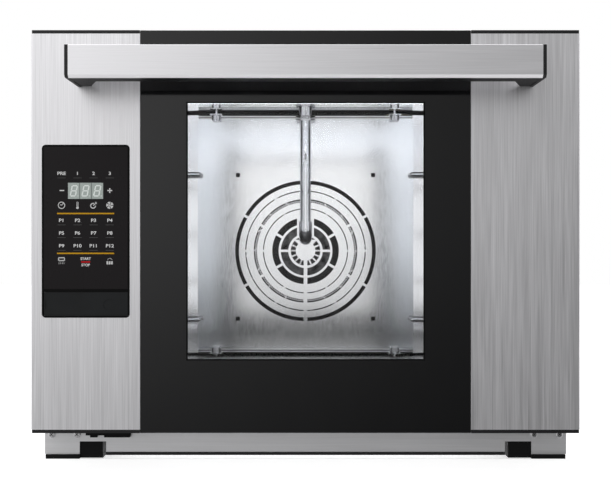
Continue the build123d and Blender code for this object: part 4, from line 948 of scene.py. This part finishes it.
def wool_pieces():
    body_low = low("insulation")
    body_high = high("insulation")
    ceiling = high("cavity_ceiling").z
    floor = low("cavity_floor").z
    side = high("cavity_side_right").x
    back = high("cavity_back").y
    front = body_low.y
    slabs = (
        ("wool_top", (-side, front, ceiling), (side, back, body_high.z)),
        ("wool_bottom", (-side, front, body_low.z), (side, back, floor)),
        ("wool_left", (body_low.x, front, floor), (-side, back, ceiling)),
        ("wool_right", (side, front, floor), (body_high.x, back, ceiling)),
    )
    first = None
    for name, corner_low, corner_high in slabs:
        bm = bmesh.new()
        wool_slab(bm, Vector(corner_low), Vector(corner_high))
        piece = finish_piece(name, bm, "cabinet", wool, smooth=True)
        first = first or piece
    # The back mat is a ring of cells around the shaft's hole
    bm = bmesh.new()
    depth = (back + 1.0, body_high.y - 1.5)
    half_width, half_height, middle = 236.0, 150.0, 240.0
    rings = 10
    spokes = 64
    hole = 20.0
    rows = []
    for ring in range(rings + 1):
        row = []
        for spoke in range(spokes):
            turn = 2 * pi * spoke / spokes
            reach = min(half_width / max(abs(cos(turn)), 0.001), half_height / max(abs(sin(turn)), 0.001))
            radius = hole + (reach - hole) * ring / rings
            x, z = radius * cos(turn), middle + radius * sin(turn)
            lump = 1.5 * noise.noise(Vector((x, 0, z)) / 25.0)
            row.append([bm.verts.new((x, y + lump * way, z)) for y, way in zip(depth, (0, 1))])
        rows.append(row)
    for ring in range(rings):
        for spoke in range(spokes):
            a, b = rows[ring][spoke - 1], rows[ring][spoke]
            c, d = rows[ring + 1][spoke], rows[ring + 1][spoke - 1]
            bm.faces.new((a[0], b[0], c[0], d[0]))
            bm.faces.new((a[1], d[1], c[1], b[1]))
    for spoke in range(spokes):
        for row, flip in ((rows[0], 1), (rows[-1], -1)):
            a, b = row[spoke - 1], row[spoke]
            bm.faces.new((a[0], a[1], b[1], b[0])[::flip])
    finish_piece("wool_back", bm, "cabinet", wool, smooth=True)
    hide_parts("insulation")


wool_pieces()


head_height = 1.8


def pan_head(bm, centre, outward):
    """Domed screw head standing on a face, with its axis outward."""
    radius = 3.6
    outward = Vector(outward)
    side = outward.orthogonal().normalized()
    other = outward.cross(side)
    steps = 20
    profile = [(radius, -0.2), (radius, head_height * 0.3)]
    profile += [(radius * 0.86, head_height * 0.72), (radius * 0.55, head_height)]
    rows = []
    for reach, rise in profile:
        row = []
        for k in range(steps):
            turn = 2 * pi * k / steps
            around = side * cos(turn) + other * sin(turn)
            row.append(bm.verts.new(Vector(centre) + around * reach + outward * rise))
        rows.append(row)
    for one, two in zip(rows, rows[1:]):
        for k in range(steps):
            bm.faces.new((one[k - 1], one[k], two[k], two[k - 1]))
    bm.faces.new(rows[0][::-1])
    bm.faces.new(rows[-1])


def cross_slot(bm, centre, outward, reach=2.0, width=0.7):
    """Dark cross on a screw's head."""
    outward = Vector(outward)
    side = outward.orthogonal().normalized()
    other = outward.cross(side)
    for one, two in ((side, other), (other, side)):
        corners = [one * a * reach + two * b * width / 2 for a, b in ((-1, -1), (1, -1), (1, 1), (-1, 1))]
        near = [bm.verts.new(Vector(centre) + c) for c in corners]
        far = [bm.verts.new(Vector(centre) + c - outward * 0.4) for c in corners]
        bm.faces.new(near)
        bm.faces.new(far[::-1])
        for k in range(4):
            bm.faces.new((near[k - 1], far[k - 1], far[k], near[k]))


# Screws of the cabinet's back, top and sides, and crosses in all screw heads that show
def cabinet_screws():
    heads = bmesh.new()
    slots = bmesh.new()
    spots = []
    back = high("back_panel").y
    edge_x = high("back_panel").x - 8.0
    top_line, side_line, front_line = 468.0, 27.0, 27.7
    for z in (60.0, 200.0, 340.0, 462.0):
        for x in (-edge_x, edge_x):
            spots.append(((x, back, z), (0, 1, 0)))
    for x in (-150.0, 0.0, 150.0):
        spots.append(((x, back, top_line), (0, 1, 0)))
    wall = high("side_panel_right").x
    for y in (-190.0, 50.0, 290.0):
        for side in (-1, 1):
            spots.append(((side * wall, y, side_line), (side, 0, 0)))
    for at, outward in spots:
        pan_head(heads, at, outward)
        cross_slot(slots, Vector(at) + Vector(outward) * (head_height + 0.04), outward)
    front = low("frame_screws").y
    for x in (-291.1, -262.0, 262.0, 291.1):
        cross_slot(slots, (x, front - 0.05, front_line), (0, -1, 0), 2.2, 0.8)
    finish_piece("cabinet_screw_heads", heads, "cabinet", fastener)
    finish_piece("screw_crosses", slots, "cabinet", recess_dark)


cabinet_screws()


# Stage: a pale worktop that ends at the oven's front, so the open door's handle hangs clear of it
def worktop():
    finish = Finish("worktop", (0.8, 0.8, 0.8), roughness=0.7)
    grain = finish.noise((40.0, 40.0, 40.0), detail=3.0)
    finish.tint(grain, (0.79, 0.79, 0.79), (0.81, 0.81, 0.81))
    path = finish.add("LightPath")
    glow = finish.add("Emission")
    glow.inputs["Strength"].default_value = 0.6
    plain = finish.add("AddShader")
    finish.join(finish.shader.outputs[0], plain.inputs[0])
    finish.join(glow.outputs[0], plain.inputs[1])
    seen = path.outputs["Is Camera Ray"]
    for kind in ("Is Glossy Ray", "Is Transmission Ray"):
        either = finish.add("Math", operation="MAXIMUM")
        finish.join(seen, either.inputs[0])
        finish.join(path.outputs[kind], either.inputs[1])
        seen = either.outputs[0]
    mix = finish.add("MixShader")
    finish.join(seen, mix.inputs[0])
    finish.join(finish.shader.outputs[0], mix.inputs[1])
    finish.join(plain.outputs[0], mix.inputs[2])
    finish.join(mix.outputs[0], finish.tree.nodes["Material Output"].inputs["Surface"])
    half_width = 4.0
    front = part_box("feet")[0].y - 0.5 * MM
    back = 5.0
    thickness = 0.04
    bm = bmesh.new()
    bmesh.ops.create_cube(bm, size=1.0)
    bmesh.ops.scale(bm, vec=(2 * half_width, back - front, thickness), verts=bm.verts[:])
    bmesh.ops.translate(bm, vec=(0, (front + back) / 2, -thickness / 2), verts=bm.verts[:])
    data = bpy.data.meshes.new("worktop")
    bm.to_mesh(data)
    bm.free()
    data.materials.append(finish.material)
    slab = bpy.data.objects.new("worktop", data)
    scene.collection.objects.link(slab)


worktop()


# Studio light
def studio_world():
    """White to the camera and through glass; to the object a room that is paler above and to the left."""
    world = bpy.data.worlds.new("studio")
    scene.world = world
    world.use_nodes = True
    tree = world.node_tree
    tree.nodes.clear()

    def add(kind, **settings):
        node = tree.nodes.new("ShaderNode" + kind)
        for key, value in settings.items():
            setattr(node, key, value)
        return node

    def spread(source, first, last, start, end):
        node = add("MapRange", interpolation_type="SMOOTHSTEP")
        for socket, value in (("From Min", first), ("From Max", last), ("To Min", start), ("To Max", end)):
            node.inputs[socket].default_value = value
        tree.links.new(source, node.inputs["Value"])
        return node.outputs["Result"]

    def maths(operation, one, two):
        node = add("Math", operation=operation)
        for socket, value in zip(node.inputs, (one, two)):
            if isinstance(value, float):
                socket.default_value = value
            else:
                tree.links.new(value, socket)
        return node.outputs[0]

    direction = add("TexCoord").outputs["Generated"]
    parts = add("SeparateXYZ")
    tree.links.new(direction, parts.inputs[0])
    across = spread(parts.outputs["X"], -0.28, 0.22, 1.3, 0.385)
    height = spread(parts.outputs["Z"], -0.3, 0.14, 0.2, 0.97)
    room = maths("MULTIPLY", across, height)
    # The room lies in front of the oven, and an even pale wall behind it
    wall_level = 0.95
    behind = spread(parts.outputs["Y"], -0.75, 0.1, 0.0, 1.0)
    ahead = maths("SUBTRACT", 1.0, behind)
    level = maths("ADD", maths("MULTIPLY", room, ahead), maths("MULTIPLY", behind, wall_level))
    path = add("LightPath")
    mirrored = maths("MULTIPLY", path.outputs["Is Glossy Ray"], behind)
    seen = maths("MAXIMUM", path.outputs["Is Camera Ray"], mirrored)
    # Through the window the deflector mirrors what is right in front of the oven, darker low down
    beside = spread(parts.outputs["Y"], -0.99, -0.97, 0.0, 1.0)
    window_view = maths("MAXIMUM", spread(parts.outputs["Z"], -0.065, 0.03, 0.57, 1.0), beside)
    plain = add("Mix", data_type="FLOAT")
    tree.links.new(path.outputs["Is Transmission Ray"], plain.inputs[0])
    tree.links.new(level, plain.inputs[2])
    tree.links.new(window_view, plain.inputs[3])
    strength = add("Mix", data_type="FLOAT")
    tree.links.new(seen, strength.inputs[0])
    tree.links.new(plain.outputs[0], strength.inputs[2])
    strength.inputs[3].default_value = 1.0
    background = add("Background")
    background.inputs["Color"].default_value = (1.0, 1.0, 1.0, 1.0)
    tree.links.new(strength.outputs[0], background.inputs["Strength"])
    output = add("OutputWorld")
    tree.links.new(background.outputs[0], output.inputs["Surface"])


studio_world()


def soft_lamp(name, place, target, size, power, color=(1.0, 1.0, 1.0), body=None):
    """Rectangular area lamp aimed at a point, in metres and watts, seen by neither camera nor glass."""
    data = bpy.data.lights.new(name, "AREA")
    data.shape = "RECTANGLE"
    data.size, data.size_y = size
    data.energy = power
    data.color = color
    lamp = bpy.data.objects.new(name, data)
    lamp.location = place
    aim = Vector(target) - Vector(place)
    lamp.rotation_mode = "QUATERNION"
    lamp.rotation_quaternion = aim.to_track_quat("-Z", "Y")
    lamp.visible_camera = False
    lamp.visible_transmission = False
    scene.collection.objects.link(lamp)
    if body:
        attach(lamp, body)
    return lamp


soft_lamp("key", (-1.6, -1.6, 1.9), (0.0, -0.1, 0.25), (1.4, 1.4), 8.0)
soft_lamp("fill", (1.8, -1.2, 1.2), (0.0, 0.0, 0.25), (1.2, 1.2), 3.0)
soft_lamp("overhead", (0.0, 0.2, 2.2), (0.0, 0.1, 0.3), (2.0, 1.6), 12.0)
# Light bar in the door, which shines into the cavity, and soft light in the cavity and on the door's inside
cool = (0.95, 0.97, 1.0)
soft_lamp("window_light", (0.0, -0.243, 0.408), (0.0, 0.12, 0.3), (0.24, 0.012), 0.001, cool, "door")
soft_lamp("cavity_light", (0.0, -0.19, 0.438), (0.0, 0.1, 0.3), (0.44, 0.06), 0.007, cool, "cabinet")
door_light = soft_lamp("door_light", (0, 0.05, 0.436), (0, -0.22, 0.33), (0.4, 0.08), 2.5, cool, "cabinet")
door_light.data.spread = radians(80)


# Camera: level, in front of the middle, with the photograph's perspective
def camera():
    photo_width = 611.0
    focal_pixels = 1075.8
    distance = 1.18
    eye_height = 0.2454
    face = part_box("left_column")[0].y
    data = bpy.data.cameras.new("camera")
    data.sensor_width = 36.0
    data.lens = focal_pixels / photo_width * data.sensor_width
    data.clip_end = 50.0
    view = bpy.data.objects.new("camera", data)
    view.location = (0.0, face - distance, eye_height)
    view.rotation_euler = (pi / 2, 0.0, 0.0)
    scene.collection.objects.link(view)
    scene.camera = view


camera()

scene.view_settings.view_transform = "Standard"
